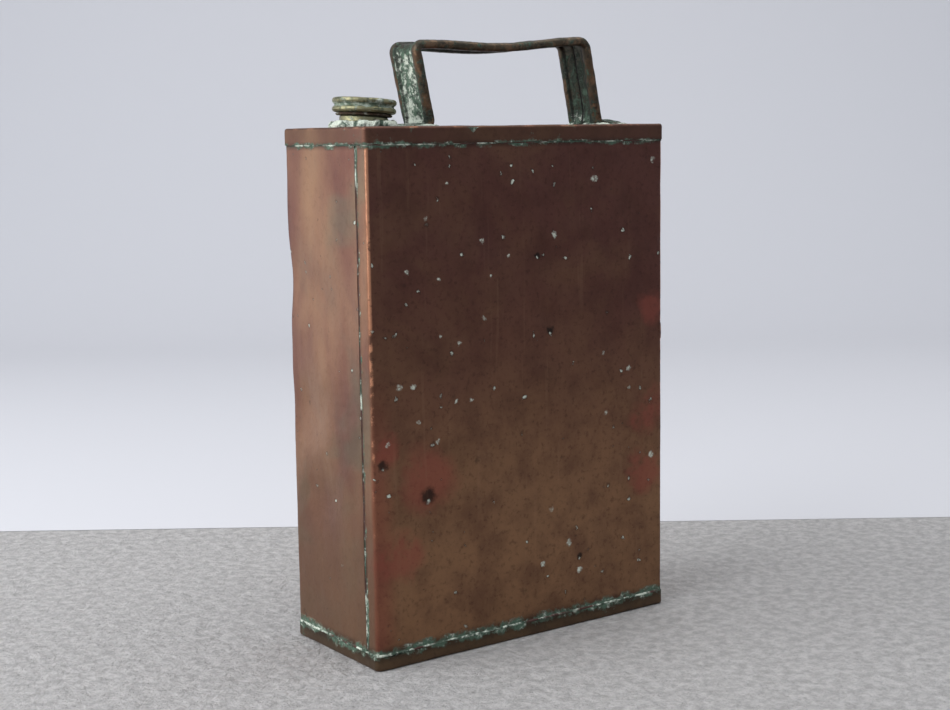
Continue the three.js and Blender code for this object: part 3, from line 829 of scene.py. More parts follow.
def filler_brass():
    """Tarnished brass with pale corrosion, and dirt in the waist of the stopper's head."""
    paints = settings().colours
    finish = Finish("filler_brass_tarnish", 0.75, 0.45)
    ground = finish.mix(finish.noise(0.006, 5.0, 0.65), tone(paints.brass, 0.4), paints.brass)
    stain = finish.between(finish.noise(0.003, 5.0, 0.7), 0.48, 0.62)
    ground = finish.mix(finish.both(stain, 0.75), ground, tone(paints.verdigris, 0.4))
    up_axis = finish.node("ShaderNodeVectorMath", operation="DOT_PRODUCT")
    finish.link(finish.place, up_axis.inputs[0])
    up_axis.inputs[1].default_value = FILLER_AXIS
    waist = FILLER_PLACE.dot(FILLER_AXIS) + WAIST_HEIGHT
    off_waist = finish.maths("ABSOLUTE", finish.maths("SUBTRACT", up_axis.outputs["Value"], waist))
    in_waist = finish.both(finish.between(off_waist, 0.0016, 0.0006), 0.14)
    spread = finish.maths("ADD", finish.noise(0.0032, 6.0, 0.72, 0.4), in_waist)
    growth = finish.between(spread, 0.55, 0.64)
    ground = finish.mix(finish.both(growth, 0.9), ground, corrosion(finish, 0.8))
    finish.paint(
        base=ground,
        metallic=finish.blend(growth, 0.8, 0.0),
        roughness=finish.blend(growth, finish.blend(finish.noise(0.003), 0.28, 0.5), 0.9),
    )
    finish.bump(
        (finish.noise(0.003, 4.0), 0.0004),
        (finish.noise(0.0006, 4.0, 0.7), 0.0001),
    )
    return finish.material


def washer_leather():
    """Dark leather with grain and a little pale dust."""
    paints = settings().colours
    finish = Finish("washer_leather_grain", 0.0, 0.75)
    distance = finish.cells(0.0009)[0]
    ground = finish.mix(finish.noise(0.003, 5.0), tone(paints.leather, 0.55), paints.leather)
    ground = finish.mix(finish.between(distance, 0.55, 0.8), ground, tone(paints.leather, 0.3))
    dust = finish.between(finish.noise(0.002, 5.0, 0.7), 0.52, 0.66)
    ground = finish.mix(finish.both(dust, 0.5), ground, paints.bloom)
    finish.paint(base=ground, roughness=finish.blend(distance, 0.6, 0.85))
    finish.bump((distance, 0.00012), (finish.noise(0.0015, 4.0), 0.0001))
    return finish.material


def wire_iron():
    """Iron wire, brown with rust."""
    paints = settings().colours
    finish = Finish("wire_iron_rust", 0.8, 0.55)
    ground = finish.mix(finish.noise(0.002, 5.0, 0.7), tone(paints.iron, 0.5), paints.iron)
    rust = finish.between(finish.noise(0.004, 5.0, 0.7), 0.45, 0.6)
    ground = finish.mix(rust, ground, tone(paints.russet, 0.6))
    finish.paint(base=ground, metallic=finish.blend(rust, 0.9, 0.0))
    finish.bump((finish.noise(0.0008, 4.0), 0.00008))
    return finish.material


FINISHES = {
    "shell_copper": shell_copper,
    "end_copper": end_copper,
    "solder": seam_solder,
    "handle_copper": handle_copper,
    "filler_brass": filler_brass,
    "washer_leather": washer_leather,
    "wire_steel": wire_iron,
}
made_finishes = {}


def finish_of(slot):
    if slot not in made_finishes:
        made_finishes[slot] = FINISHES[slot]()
    return made_finishes[slot]


# ------------------------------------------------------------------ body
FACE_CUTS_ACROSS = 84
FACE_CUTS_UP = 112
SIDE_CUTS = 34
# Dents in the front face: across, height, depth (negative for a bulge) and reach, in millimetres.
FRONT_DENTS = (
    (-95, 110, 0.9, 9),
    (-68, 87, 1.1, 12),
    (-85, 108, 0.6, 14),
    (-50, 75, 0.5, 16),
    (-93, 12, 1.3, 8),
    (-86, 13, 1.2, 8),
    (15, 180, 0.5, 10),
    (18, 146, -0.4, 14),
    (-28, 109, 0.5, 7),
    (60, 60, 0.6, 26),
    (-20, 235, 0.5, 30),
)
# Dents in the sides and the back: place, offset and reach, in millimetres.
BACK_DENTS = (
    ((-100.5, 30, 238), (-0.5, 0, 0), 26),
    ((-100.5, 33, 204), (2.0, 0, 0), 28),
    ((-100.5, 8, 196), (1.2, 0, 0), 20),
    ((-100.5, 6, 156), (-0.6, 0, 0), 30),
    ((-100.5, 24, 132), (1.6, 0, 0), 26),
    ((-100.5, 10, 84), (1.3, 0, 0), 26),
    ((-100.5, 26, 48), (-0.5, 0, 0), 22),
    ((100.5, 10, 120), (-1.2, 0, 0), 30),
    ((100.5, 0, 210), (-0.9, 0, 0), 24),
    ((30, 41.75, 180), (0, -1.2, 0), 40),
    ((-40, 41.75, 90), (0, -1.0, 0), 34),
)


def loose(co):
    """How freely a point of the body may move: not at all near the ends and corners."""
    from_end = min(co.z - BASE_HIGH.z, TOP_LOW.z - co.z)
    from_side = BODY_HIGH.x - abs(co.x)
    from_face = BODY_HIGH.y - abs(co.y)
    near_corner = max(from_side, from_face)
    return smooth_step(from_end, 0.0, 0.045) * smooth_step(near_corner, 0.001, 0.03)


def slightly_loose(co):
    from_end = min(co.z - BASE_HIGH.z, TOP_LOW.z - co.z)
    return smooth_step(from_end, 0.0, 0.006)


def uneven_sheet(seed):
    body = settings().body
    sway = weigh("sway", loose)
    roughen(body.sway, 0.085, group=sway, seed=seed)
    wander = weigh("wander", slightly_loose)
    roughen(body.hammering, 0.018, group=wander, seed=seed + 0.3)
    roughen(0.25 * body.hammering, 0.006, group=wander, seed=seed + 0.6)


class OILCAN_OT_front_shell(bpy.types.Operator):
    """Build the front face with its two laps, dented and uneven"""

    bl_idname = "oilcan.front_shell"
    bl_label = "Front Shell"

    def execute(self, context):
        body = settings().body
        start_block(BODY_LOW, BODY_HIGH)
        delete_faces(lambda middle, normal: abs(normal.z) > 0.5 or normal.y > 0.5)
        bpy.ops.mesh.select_all(action="SELECT")
        bpy.ops.mesh.bisect(
            plane_co=(0, LAP_EDGE, 0), plane_no=(0, 1, 0), clear_outer=True
        )
        pick("EDGE", lambda middle, way: runs_along(way, 2) and middle.y < BODY_LOW.y + MM)
        bpy.ops.mesh.bevel(offset=body.corner, segments=5, affect="EDGES")
        cut_across(2, FACE_CUTS_UP)
        cut_across(0, FACE_CUTS_ACROSS, lambda middle: middle.y < BODY_LOW.y + 0.1 * MM)
        cut_across(1, 3, lambda middle: abs(middle.x) > BODY_HIGH.x - 0.1 * MM)
        uneven_sheet(0.11)
        for across, height, depth, reach in FRONT_DENTS:
            place = Vector((across * MM, BODY_LOW.y, height * MM))
            push(place, (0, depth * MM, 0), reach * MM)
        apply_modifier("SOLIDIFY", thickness=body.sheet, offset=-1.0)
        finish_piece("front_shell_sheet", "can", "front_shell", "shell_copper")
        return {"FINISHED"}


class OILCAN_OT_back_shell(bpy.types.Operator):
    """Build the back face and both narrow sides, stepped in under the front shell's laps"""

    bl_idname = "oilcan.back_shell"
    bl_label = "Back Shell"

    def execute(self, context):
        body = settings().body
        step = LAP_EDGE + 1.6 * MM
        under_lap = (BODY_HIGH.x - body.sheet - 0.15 * MM) / BODY_HIGH.x
        start_block(BODY_LOW, BODY_HIGH)
        delete_faces(lambda middle, normal: abs(normal.z) > 0.5 or normal.y < -0.5)
        bpy.ops.mesh.select_all(action="SELECT")
        bpy.ops.mesh.bisect(plane_co=(0, step, 0), plane_no=(0, 1, 0), clear_inner=True)
        pick("EDGE", lambda middle, way: runs_along(way, 2) and middle.y > BODY_HIGH.y - MM)
        bpy.ops.mesh.bevel(offset=body.corner, segments=5, affect="EDGES")
        cut_across(2, FACE_CUTS_UP)
        cut_across(0, FACE_CUTS_ACROSS, lambda middle: middle.y > BODY_HIGH.y - 0.1 * MM)
        cut_across(1, SIDE_CUTS, lambda middle: abs(middle.x) > BODY_HIGH.x - 0.1 * MM)
        uneven_sheet(0.47)
        for place, offset, reach in BACK_DENTS:
            push(Vector(place) * MM, Vector(offset) * MM, reach * MM)
        pick("EDGE", lambda middle, way: middle.y < step + 0.3 * MM and abs(way.z) > abs(way.y))
        bpy.ops.mesh.extrude_edges_move()
        bpy.ops.transform.resize(value=(under_lap, 1, 1), center_override=(0, 0, 0))
        bpy.ops.mesh.extrude_edges_move(
            TRANSFORM_OT_translate={"value": (0, LIP_EDGE - step, 0)}
        )
        apply_modifier("SOLIDIFY", thickness=body.sheet, offset=-1.0)
        finish_piece("back_shell_sheet", "can", "back_shell", "shell_copper")
        return {"FINISHED"}


SKIRT_ROOM = 0.25 * MM  # kept free for the skirts' unevenness


def pan(low, high, skirt_side):
    """An open pan whose skirt hangs to one side: -1 down, 1 up."""
    body = settings().body
    low = low + Vector((SKIRT_ROOM, SKIRT_ROOM, 0))
    high = high - Vector((SKIRT_ROOM, SKIRT_ROOM, 0))
    start_block(low, high)
    delete_faces(lambda middle, normal: normal.z * skirt_side > 0.5)
    cut_across(0, 62)
    cut_across(1, 25)
    cut_across(2, 4)
    pick(
        "EDGE",
        lambda middle, way: runs_along(way, 2)
        and abs(middle.x) > high.x - 0.1 * MM
        and abs(middle.y) > high.y - 0.1 * MM,
    )
    bpy.ops.mesh.bevel(offset=body.corner + body.sheet, segments=5, affect="EDGES")
    plate = low.z if skirt_side > 0 else high.z

    def on_rim(middle, way):
        level = abs(middle.z - plate) < 0.01 * MM
        outside = Vector((abs(middle.x) - high.x, abs(middle.y) - high.y))
        corner = body.corner + body.sheet
        rounded = min(outside) > -corner and (outside + Vector((corner, corner))).length > 0.93 * corner
        return level and (max(outside) > -0.01 * MM or rounded)

    pick("EDGE", on_rim)
    bpy.ops.mesh.bevel(offset=body.rim, segments=3, affect="EDGES")


def uneven_pan(low, high, skirt_side, seed):
    skirt_edge = high.z if skirt_side > 0 else low.z
    inner = weigh("edge", lambda co: 1.0 - smooth_step(abs(co.z - skirt_edge), 0.0, 0.003))
    roughen(1.3 * MM, 0.02, direction="Z", group=inner, seed=seed)
    roughen(0.5 * MM, 0.02, seed=seed + 0.2)
    roughen(0.25 * MM, 0.006, seed=seed + 0.4)


class OILCAN_OT_ends(bpy.types.Operator):
    """Build the top and bottom ends, with wavy skirts and knocked corners"""

    bl_idname = "oilcan.ends"
    bl_label = "Ends"

    def execute(self, context):
        self.top()
        self.base()
        return {"FINISHED"}

    def top(self):
        body = settings().body
        pan(TOP_LOW, TOP_HIGH, -1)
        uneven_pan(TOP_LOW, TOP_HIGH, -1, 0.23)
        bpy.ops.object.mode_set(mode="EDIT")
        push(Vector((-35 * MM, TOP_LOW.y, PLATE)), (0, 1.0 * MM, -0.9 * MM), 6 * MM)
        push(Vector((30 * MM, 24 * MM, PLATE)), (0, 0, -1.0 * MM), 26 * MM)
        push(Vector((-10 * MM, -24 * MM, PLATE)), (0, 0, -0.8 * MM), 24 * MM)
        apply_modifier("SOLIDIFY", thickness=body.sheet, offset=-1.0)
        sheet = bpy.context.object
        deselect_all()
        bpy.ops.mesh.primitive_cylinder_add(
            radius=11.3 * MM, depth=0.01, location=FILLER_PLACE, vertices=64
        )
        punch = bpy.context.object
        deselect_all()
        bpy.context.view_layer.objects.active = sheet
        sheet.select_set(True)
        apply_modifier("BOOLEAN", object=punch, operation="DIFFERENCE", solver="EXACT")
        bpy.data.objects.remove(punch)
        finish_piece("top_end_sheet", "can", "top_end", "end_copper")

    def base(self):
        body = settings().body
        pan(BASE_LOW, BASE_HIGH, 1)
        uneven_pan(BASE_LOW, BASE_HIGH, 1, 0.57)
        bpy.ops.object.mode_set(mode="EDIT")
        push(Vector((-92 * MM, BASE_LOW.y, BASE_HIGH.z)), (0, -0.15 * MM, -0.8 * MM), 12 * MM)
        push(Vector((-60 * MM, BASE_LOW.y, BASE_HIGH.z)), (0, -0.1 * MM, 0.5 * MM), 14 * MM)
        bpy.ops.mesh.select_all(action="SELECT")
        apply_modifier("SOLIDIFY", thickness=body.sheet, offset=-1.0)
        self.stand_flat()
        finish_piece("bottom_end_sheet", "can", "bottom_end", "end_copper")

    def stand_flat(self):
        """Nothing of the base may go below the floor."""
        bpy.ops.object.mode_set(mode="EDIT")
        pick("VERT", lambda co, normal: co.z < BASE_LOW.z)
        bpy.ops.transform.resize(value=(1, 1, 0), center_override=(0, 0, BASE_LOW.z))


# ------------------------------------------------------------------ solder
def ring_bead(height, half_x, half_y, radius):
    """A level run of solder round the body, as a round tube."""
    start_plate((0, 0, height), 2 * half_x, 2 * half_y)
    bpy.ops.mesh.bevel(offset=settings().body.corner, segments=4, affect="VERTICES")
    bpy.ops.mesh.delete(type="ONLY_FACE")
    cut_across(0, 150)
    cut_across(1, 60)
    tube(radius)


def tube(radius):
    """Turns the active wire mesh into a round tube mesh."""
    bpy.ops.object.mode_set(mode="OBJECT")
    bpy.ops.object.convert(target="CURVE")
    curve = bpy.context.object.data
    curve.bevel_depth = radius
    curve.bevel_resolution = 3
    curve.use_fill_caps = True
    bpy.ops.object.convert(target="MESH")
    edit_all()
    bpy.ops.mesh.remove_doubles(threshold=1e-6)
    bpy.ops.mesh.normals_make_consistent(inside=False)
    bpy.ops.object.mode_set(mode="OBJECT")


def lumpy(depth, seed):
    roughen(depth, 0.004, seed=seed)
    roughen(0.5 * depth, 0.0015, seed=seed + 0.2)


class OILCAN_OT_seam_solder(bpy.types.Operator):
    """Build the runs of solder along the end seams and the two laps"""

    bl_idname = "oilcan.seam_solder"
    bl_label = "Seam Solder"

    def execute(self, context):
        radius = settings().body.bead
        half_x = BODY_HIGH.x - 0.2 * MM
        half_y = BODY_HIGH.y - 0.2 * MM
        for name, height, size, seed in (
            ("top_seam_solder", TOP_LOW.z - 0.2 * MM, 0.9 * radius, 0.13),
            ("bottom_seam_solder", BASE_HIGH.z + 0.3 * MM, 1.3 * radius, 0.71),
        ):
            ring_bead(height, half_x, half_y, size)
            lumpy(1.8 * radius, seed)
            finish_piece(name + "_run", "can", name, "solder", angle=60)
        for side, name in ((-1, "left_lap_solder"), (1, "right_lap_solder")):
            self.lap(side, name)
        return {"FINISHED"}

    def lap(self, side, name):
        low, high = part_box(name)
        start_plate((side * (BODY_HIGH.x - 0.35 * MM), (low.y + high.y) / 2, low.z), MM, MM)
        bpy.ops.mesh.merge(type="CENTER")
        bpy.ops.mesh.extrude_vertices_move(
            TRANSFORM_OT_translate={"value": (0, 0, high.z - low.z)}
        )
        bpy.ops.mesh.select_all(action="SELECT")
        bpy.ops.mesh.subdivide(number_cuts=90)
        tube(0.5 * MM)
        lumpy(0.6 * MM, 0.31 + side)
        finish_piece(name + "_run", "can", name, "solder", angle=60)


# ------------------------------------------------------------------ handle
BEND_STEP = math.radians(15)


def bent_path(corners, radii):
    """Points along straight runs joined by arcs, in the XZ plane."""
    points = [corners[0]]
    for before, corner, after, radius in zip(corners, corners[1:], corners[2:], radii):
        into = (corner - before).normalized()
        out = (after - corner).normalized()
        turn = into.angle(out)
        way = into.cross(out).normalized()
        start = corner - into * radius * math.tan(turn / 2)
        centre = start + way.cross(into) * radius
        steps = max(3, math.ceil(turn / BEND_STEP))
        for step in range(steps + 1):
            swing = Matrix.Rotation(turn * step / steps, 3, way)
            points.append(centre + swing @ (start - centre))
    points.append(corners[-1])
    return points


def divided(points, longest):
    """The same path with its long runs divided."""
    filled = [points[0]]
    for start, end in zip(points, points[1:]):
        parts = max(1, math.ceil((end - start).length / longest))
        filled += [start.lerp(end, part / parts) for part in range(1, parts + 1)]
    return filled


FOOT = PLATE + 0.75 * MM  # height of the feet's middle line
LEFT_FOOT_LENGTH = 8.6 * MM
LEG_CLEARANCE = 3.2 * MM  # from a leg's middle line to where its foot is flattened


def leg_places():
    """Where the left and the right leg meet the top plate, across the can."""
    handle = settings().handle
    return FILLER_PLACE.x + handle.left_leg, BODY_HIGH.x - handle.right_leg


def strap_path():
    """The strap's middle line, from the right foot's tip over the grip to the left foot's."""
    handle = settings().handle
    left, right = leg_places()
    top = PLATE + handle.rise
    corners = [
        Vector((STRAP_HIGH.x, 0, FOOT)),
        Vector((right, 0, FOOT)),
        Vector((right - handle.lean, 0, top + handle.slope)),
        Vector((left - handle.lean, 0, top)),
        Vector((left, 0, FOOT)),
        Vector((left - LEFT_FOOT_LENGTH, 0, FOOT)),
    ]
    radii = [2.6 * MM, 5.6 * MM, 3.6 * MM, 2.6 * MM]
    points = divided(bent_path(corners, radii), 5 * MM)
    grip_left = left - handle.lean + 6 * MM
    grip_right = right - handle.lean - 6 * MM
    for point in points:
        if point.z > top - 2 * MM and grip_left < point.x < grip_right:
            share = (point.x - grip_left) / (grip_right - grip_left)
            point.z -= handle.sag * math.sin(math.pi * share) ** 2
    return points


class OILCAN_OT_handle(bpy.types.Operator):
    """Build the strap handle with its wired edges, inner seam and turned-out feet"""

    bl_idname = "oilcan.handle"
    bl_label = "Handle"

    def execute(self, context):
        handle = settings().handle
        width = STRAP_HIGH.y - STRAP_LOW.y
        half = width / 2
        points = strap_path()
        start_plate((0, 0, 0), handle.bead, width)
        web_edge = half - handle.bead
        for cut in (0.3 * MM, 1.1 * MM, 0.5 * web_edge, web_edge - 0.9 * MM, web_edge):
            for side in (-1, 1):
                bpy.ops.mesh.select_all(action="SELECT")
                bpy.ops.mesh.bisect(plane_co=(0, side * cut, 0), plane_no=(0, 1, 0))
        bpy.ops.mesh.select_all(action="SELECT")
        heading = self.heading(points, 0)
        bpy.ops.transform.translate(value=points[0])
        self.turn(heading, points[0])
        for step in range(1, len(points)):
            bpy.ops.mesh.extrude_region_move(
                TRANSFORM_OT_translate={"value": points[step] - points[step - 1]}
            )
            new_heading = self.heading(points, step)
            self.turn(new_heading - heading, points[step])
            heading = new_heading
        bpy.ops.mesh.select_all(action="SELECT")
        bpy.ops.mesh.normals_make_consistent(inside=False)
        leg_foot = PLATE + 5 * MM

        def in_web(middle, normal):
            on_strap = middle.z > leg_foot
            return on_strap and abs(middle.y) < web_edge - 0.5 * MM and abs(normal.y) < 0.5

        pick("FACE", in_web)
        bpy.ops.transform.shrink_fatten(value=-(handle.bead - handle.web) / 2)
        self.inner_seam(points)
        self.flatten_feet()
        apply_modifier("SUBSURF", levels=2, render_levels=2)
        roughen(0.5 * MM, 0.012, seed=0.9)
        roughen(0.25 * MM, 0.003, seed=0.35)
        finish_piece("handle_strap_sheet", "can", "handle_strap", "handle_copper")
        self.wires()
        return {"FINISHED"}

    def heading(self, points, step):
        """Turn about Y that takes +Z to the path's direction at a point."""
        before = points[max(0, step - 1)]
        after = points[min(len(points) - 1, step + 1)]
        way = after - before
        angle = math.atan2(way.x, way.z)
        return angle if angle > -math.pi * 0.75 else angle + 2 * math.pi

    def turn(self, angle, centre):
        bpy.ops.transform.rotate(value=-angle, orient_axis="Y", center_override=centre)

    def inner_seam(self, points):
        """The line where the folded-in edges meet, on the side that faces into the loop."""
        middle_x = sum(point.x for point in points) / len(points)
        loop_middle = Vector((middle_x, 0, PLATE + 20 * MM))

        def on_seam(co, normal):
            facing_in = normal.dot(loop_middle - co) > 0
            return abs(co.y) < 0.5 * MM and facing_in and co.z > PLATE + 5 * MM

        pick("VERT", on_seam)
        bpy.ops.transform.shrink_fatten(value=-0.7 * MM)

    def flatten_feet(self):
        left, right = leg_places()
        low = PLATE + 4 * MM
        for test in (
            lambda co, normal: co.x > right + LEG_CLEARANCE and co.z < low,
            lambda co, normal: co.x < left - LEG_CLEARANCE and co.z < low,
        ):
            pick("VERT", test)
            bpy.ops.transform.resize(value=(1, 0.9, 0.4), center_override=(0, 0, FOOT))
        push(Vector((STRAP_HIGH.x, 0, FOOT)), (0, 0, 1.8 * MM), 13 * MM)
        pick("VERT", lambda co, normal: co.z < PLATE + 0.1 * MM)
        bpy.ops.transform.resize(value=(1, 1, 0), center_override=(0, 0, PLATE + 0.1 * MM))

    def wires(self):
        for name in ("front_handle_wire", "back_handle_wire"):
            frame["nodes"][name].data.materials.clear()
            frame["nodes"][name].data.materials.append(finish_of("wire_steel"))


def solder_mound(name, node, low, high, height, seed):
    """A low, lumpy pool of solder on the top plate."""
    middle = (low + high) / 2
    size = high - low
    start_plate((middle.x, middle.y, PLATE - 0.3 * MM), size.x, size.y)
    bpy.ops.mesh.bevel(offset=3 * MM, segments=4, affect="VERTICES")
    bpy.ops.mesh.extrude_region_move(
        TRANSFORM_OT_translate={"value": (0, 0, height + 0.3 * MM)}
    )
    bpy.ops.mesh.inset(thickness=2.4 * MM)
    bpy.ops.transform.translate(value=(0, 0, 0.4 * MM))
    bpy.ops.object.mode_set(mode="OBJECT")
    apply_modifier("REMESH", mode="VOXEL", voxel_size=0.6 * MM)
    roughen(2.2 * MM, 0.006, seed=seed)
    roughen(0.9 * MM, 0.002, seed=seed + 0.3)
    finish_piece(name, "can", node, "solder", angle=180)


class OILCAN_OT_handle_solder(bpy.types.Operator):
    """Build the solder that holds the handle's feet to the top plate"""

    bl_idname = "oilcan.handle_solder"
    bl_label = "Handle Solder"

    def execute(self, context):
        for name, seed in (("left_foot_solder", 0.4), ("right_foot_solder", 0.8)):
            low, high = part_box(name)
            solder_mound(name + "_pool", name, low, high, 0.5 * MM, seed)
        return {"FINISHED"}


# ------------------------------------------------------------------ filler
ROUND_PARTS = 96


def turn_profile(profile, closed):
    """A turned shape about +Z: a circle primitive, extruded and scaled from (radius, height)
    to (radius, height). It ends in a middle point, or comes round to close on its start."""
    deselect_all()
    radius, height = profile[0]
    bpy.ops.mesh.primitive_circle_add(
        vertices=ROUND_PARTS, radius=radius * MM, location=(0, 0, height * MM)
    )
    bpy.ops.object.transform_apply()
    edit_all()
    for new_radius, new_height in profile[1:]:
        bpy.ops.mesh.extrude_edges_move(
            TRANSFORM_OT_translate={"value": (0, 0, (new_height - height) * MM)}
        )
        share = new_radius / radius
        bpy.ops.transform.resize(
            value=(share, share, 1), center_override=(0, 0, new_height * MM)
        )
        radius, height = new_radius, new_height
    if not closed:
        bpy.ops.mesh.extrude_edges_move()
        bpy.ops.mesh.merge(type="CENTER")
        start_radius, start_height = profile[0]
        pick(
            "VERT",
            lambda co, normal: abs(co.z - start_height * MM) < 1e-6
            and abs(co.xy.length - start_radius * MM) < 1e-6,
        )
        bpy.ops.mesh.extrude_edges_move()
        bpy.ops.mesh.merge(type="CENTER")
    bpy.ops.mesh.select_all(action="SELECT")
    bpy.ops.mesh.remove_doubles(threshold=1e-6)
    bpy.ops.mesh.normals_make_consistent(inside=False)
    bpy.ops.object.mode_set(mode="OBJECT")


def stand_on_filler():
    """Leans the active object, modelled about +Z, onto the filler's axis."""
    piece = bpy.context.object
    piece.rotation_mode = "QUATERNION"
    piece.rotation_quaternion = Vector((0, 0, 1)).rotation_difference(FILLER_AXIS)
    piece.location = FILLER_PLACE
    bpy.ops.object.transform_apply()


class OILCAN_OT_filler(bpy.types.Operator):
    """Build the filler neck, its solder and the leather washer"""

    bl_idname = "oilcan.filler"
    bl_label = "Filler"

    def execute(self, context):
        self.neck()
        self.solder()
        self.washer()
        return {"FINISHED"}

    def neck(self):
        """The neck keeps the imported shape, with its inner thread, merged and smoothed."""
        deselect_all()
        source = frame["nodes"]["filler_boss"]
        source.select_set(True)
        bpy.context.view_layer.objects.active = source
        bpy.ops.object.duplicate()
        copy = bpy.context.object
        for key in [key for key in copy.keys() if key.startswith("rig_")]:
            del copy[key]
        copy.parent = None
        edit_all()
        bpy.ops.mesh.remove_doubles(threshold=1e-6)
        bpy.ops.object.mode_set(mode="OBJECT")
        apply_modifier("BEVEL", width=0.2 * MM, segments=2, limit_method="ANGLE")
        finish_piece("filler_neck", "can", "filler_boss", "filler_brass", angle=35)

    def solder(self):
        low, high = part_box("filler_solder")
        outer = (high.y - low.y) / 2
        deselect_all()
        minor = (outer - settings().filler.neck) / 2
        bpy.ops.mesh.primitive_torus_add(
            location=(FILLER_PLACE.x, 0, PLATE + 0.5 * MM),
            major_radius=outer - minor,
            minor_radius=minor,
            major_segments=180,
            minor_segments=28,
        )
        bpy.ops.object.transform_apply()
        edit_all()
        bpy.ops.transform.resize(value=(1, 1, 0.95), center_override=(0, 0, PLATE))
        bpy.ops.mesh.bisect(
            plane_co=(0, 0, PLATE - 0.4 * MM), plane_no=(0, 0, 1), clear_inner=True, use_fill=True
        )
        bpy.ops.object.mode_set(mode="OBJECT")
        apply_modifier("REMESH", mode="VOXEL", voxel_size=0.55 * MM)
        roughen(3.2 * MM, 0.006, seed=0.61)
        roughen(1.6 * MM, 0.0022, seed=0.15)
        finish_piece("filler_solder_ring", "can", "filler_solder", "solder", angle=180)

    def washer(self):
        filler = settings().filler
        bottom = filler.neck_height / MM + 0.3
        top = bottom + filler.washer / MM
        outer = WASHER_RADIUS / MM
        inner = outer - 5.2
        turn_profile(
            [
                (inner, bottom),
                (inner, top),
                (outer - 0.5, top),
                (outer, top - 0.35),
                (outer + 0.15, (bottom + top) / 2),
                (outer, bottom + 0.3),
                (outer - 0.5, bottom),
                (inner, bottom),
            ],
            closed=True,
        )
        roughen(0.35 * MM, 0.004, seed=0.55)
        stand_on_filler()
        finish_piece("stopper_washer_ring", "stopper_washer", "stopper_washer", "washer_leather")


class OILCAN_OT_stopper(bpy.types.Operator):
    """Build the screw stopper: a banded head on a threaded stem"""

    bl_idname = "oilcan.stopper"
    bl_label = "Stopper"

    def execute(self, context):
        filler = settings().filler
        under = filler.neck_height / MM + filler.washer / MM + 0.6
        top = under + filler.head_height / MM
        radius = STOPPER_RADIUS / MM
        waist = radius - 1.3
        stem = 8.1
        tip = -2.3
        turn_profile(
            [
                (3.0, tip + 13.2),
                (5.6, tip + 12.2),
                (5.6, tip),
                (stem - 0.6, tip),
                (stem, tip + 0.6),
                (stem, under),
                (radius - 1.6, under),
                (radius - 0.5, under + 0.4),
                (radius - 0.05, under + 1.1),
                (radius - 0.1, under + 2.1),
                (radius - 0.6, under + 2.9),
                (waist, under + 3.3),
                (waist, top - 3.4),
                (radius - 0.6, top - 3.0),
                (radius - 0.05, top - 2.2),
                (radius, top - 1.1),
                (radius - 0.5, top - 0.3),
                (radius - 1.5, top),
                (radius - 2.4, top - 0.1),
                (radius - 3.4, top - 0.8),
                (radius - 9.0, top - 0.95),
                (3.0, top - 0.9),
            ],
            closed=False,
        )
        roughen(0.35 * MM, 0.007, seed=0.85)
        self.add_thread(tip, stem)
        stand_on_filler()
        finish_piece("stopper_screw", "stopper", "stopper", "filler_brass", angle=35)
        return {"FINISHED"}

    def add_thread(self, tip, stem):
        """One thread ridge, swept up the stem and joined to it."""
        body = bpy.context.object
        pitch = settings().filler.pitch
        start = tip + 1.15
        start_plate(((stem + 0.3) * MM, 0, start * MM), 1.6 * MM, 1.9 * MM)
        bpy.ops.transform.rotate(
            value=math.pi / 2, orient_axis="X", center_override=(0, 0, start * MM)
        )
        crest = (stem + 1.1) * MM
        pick("VERT", lambda co, normal: co.x > stem * MM)
        bpy.ops.transform.resize(value=(1, 1, 0.37), center_override=(crest, 0, start * MM))
        bpy.ops.object.mode_set(mode="OBJECT")
        apply_modifier(
            "SCREW",
            screw_offset=1.7 * pitch,
            angle=2 * math.pi * 1.7,
            steps=110,
            render_steps=110,
            use_merge_vertices=False,
        )
        edit_all()
        bpy.ops.mesh.normals_make_consistent(inside=False)
        bpy.ops.object.mode_set(mode="OBJECT")
        thread = bpy.context.object
        deselect_all()
        thread.select_set(True)
        body.select_set(True)
        bpy.context.view_layer.objects.active = body
        bpy.ops.object.join()


# ------------------------------------------------------------------ stage
CAMERA_PLACE = Vector((-0.5199, -0.7197, 0.2784))
CAMERA_HEADING = math.radians(35.593)
CAMERA_DIP = math.radians(7.882)
CAMERA_ROLL = math.radians(-0.872)
CAMERA_LENS = 59.394
MAT_BEHIND = 0.225  # from the can's middle to the far edge of the grey cloth
WALL_BEHIND = 1.8


def view_vectors():
    """The camera's forward, right and up directions."""
    forward = Vector(
        (
            math.sin(CAMERA_HEADING) * math.cos(CAMERA_DIP),
            math.cos(CAMERA_HEADING) * math.cos(CAMERA_DIP),
            -math.sin(CAMERA_DIP),
        )
    )
    level = Vector((math.cos(CAMERA_HEADING), -math.sin(CAMERA_HEADING), 0))
    upright = level.cross(forward)
    right = math.cos(CAMERA_ROLL) * level + math.sin(CAMERA_ROLL) * upright
    up = right.cross(forward)
    return forward, right, up


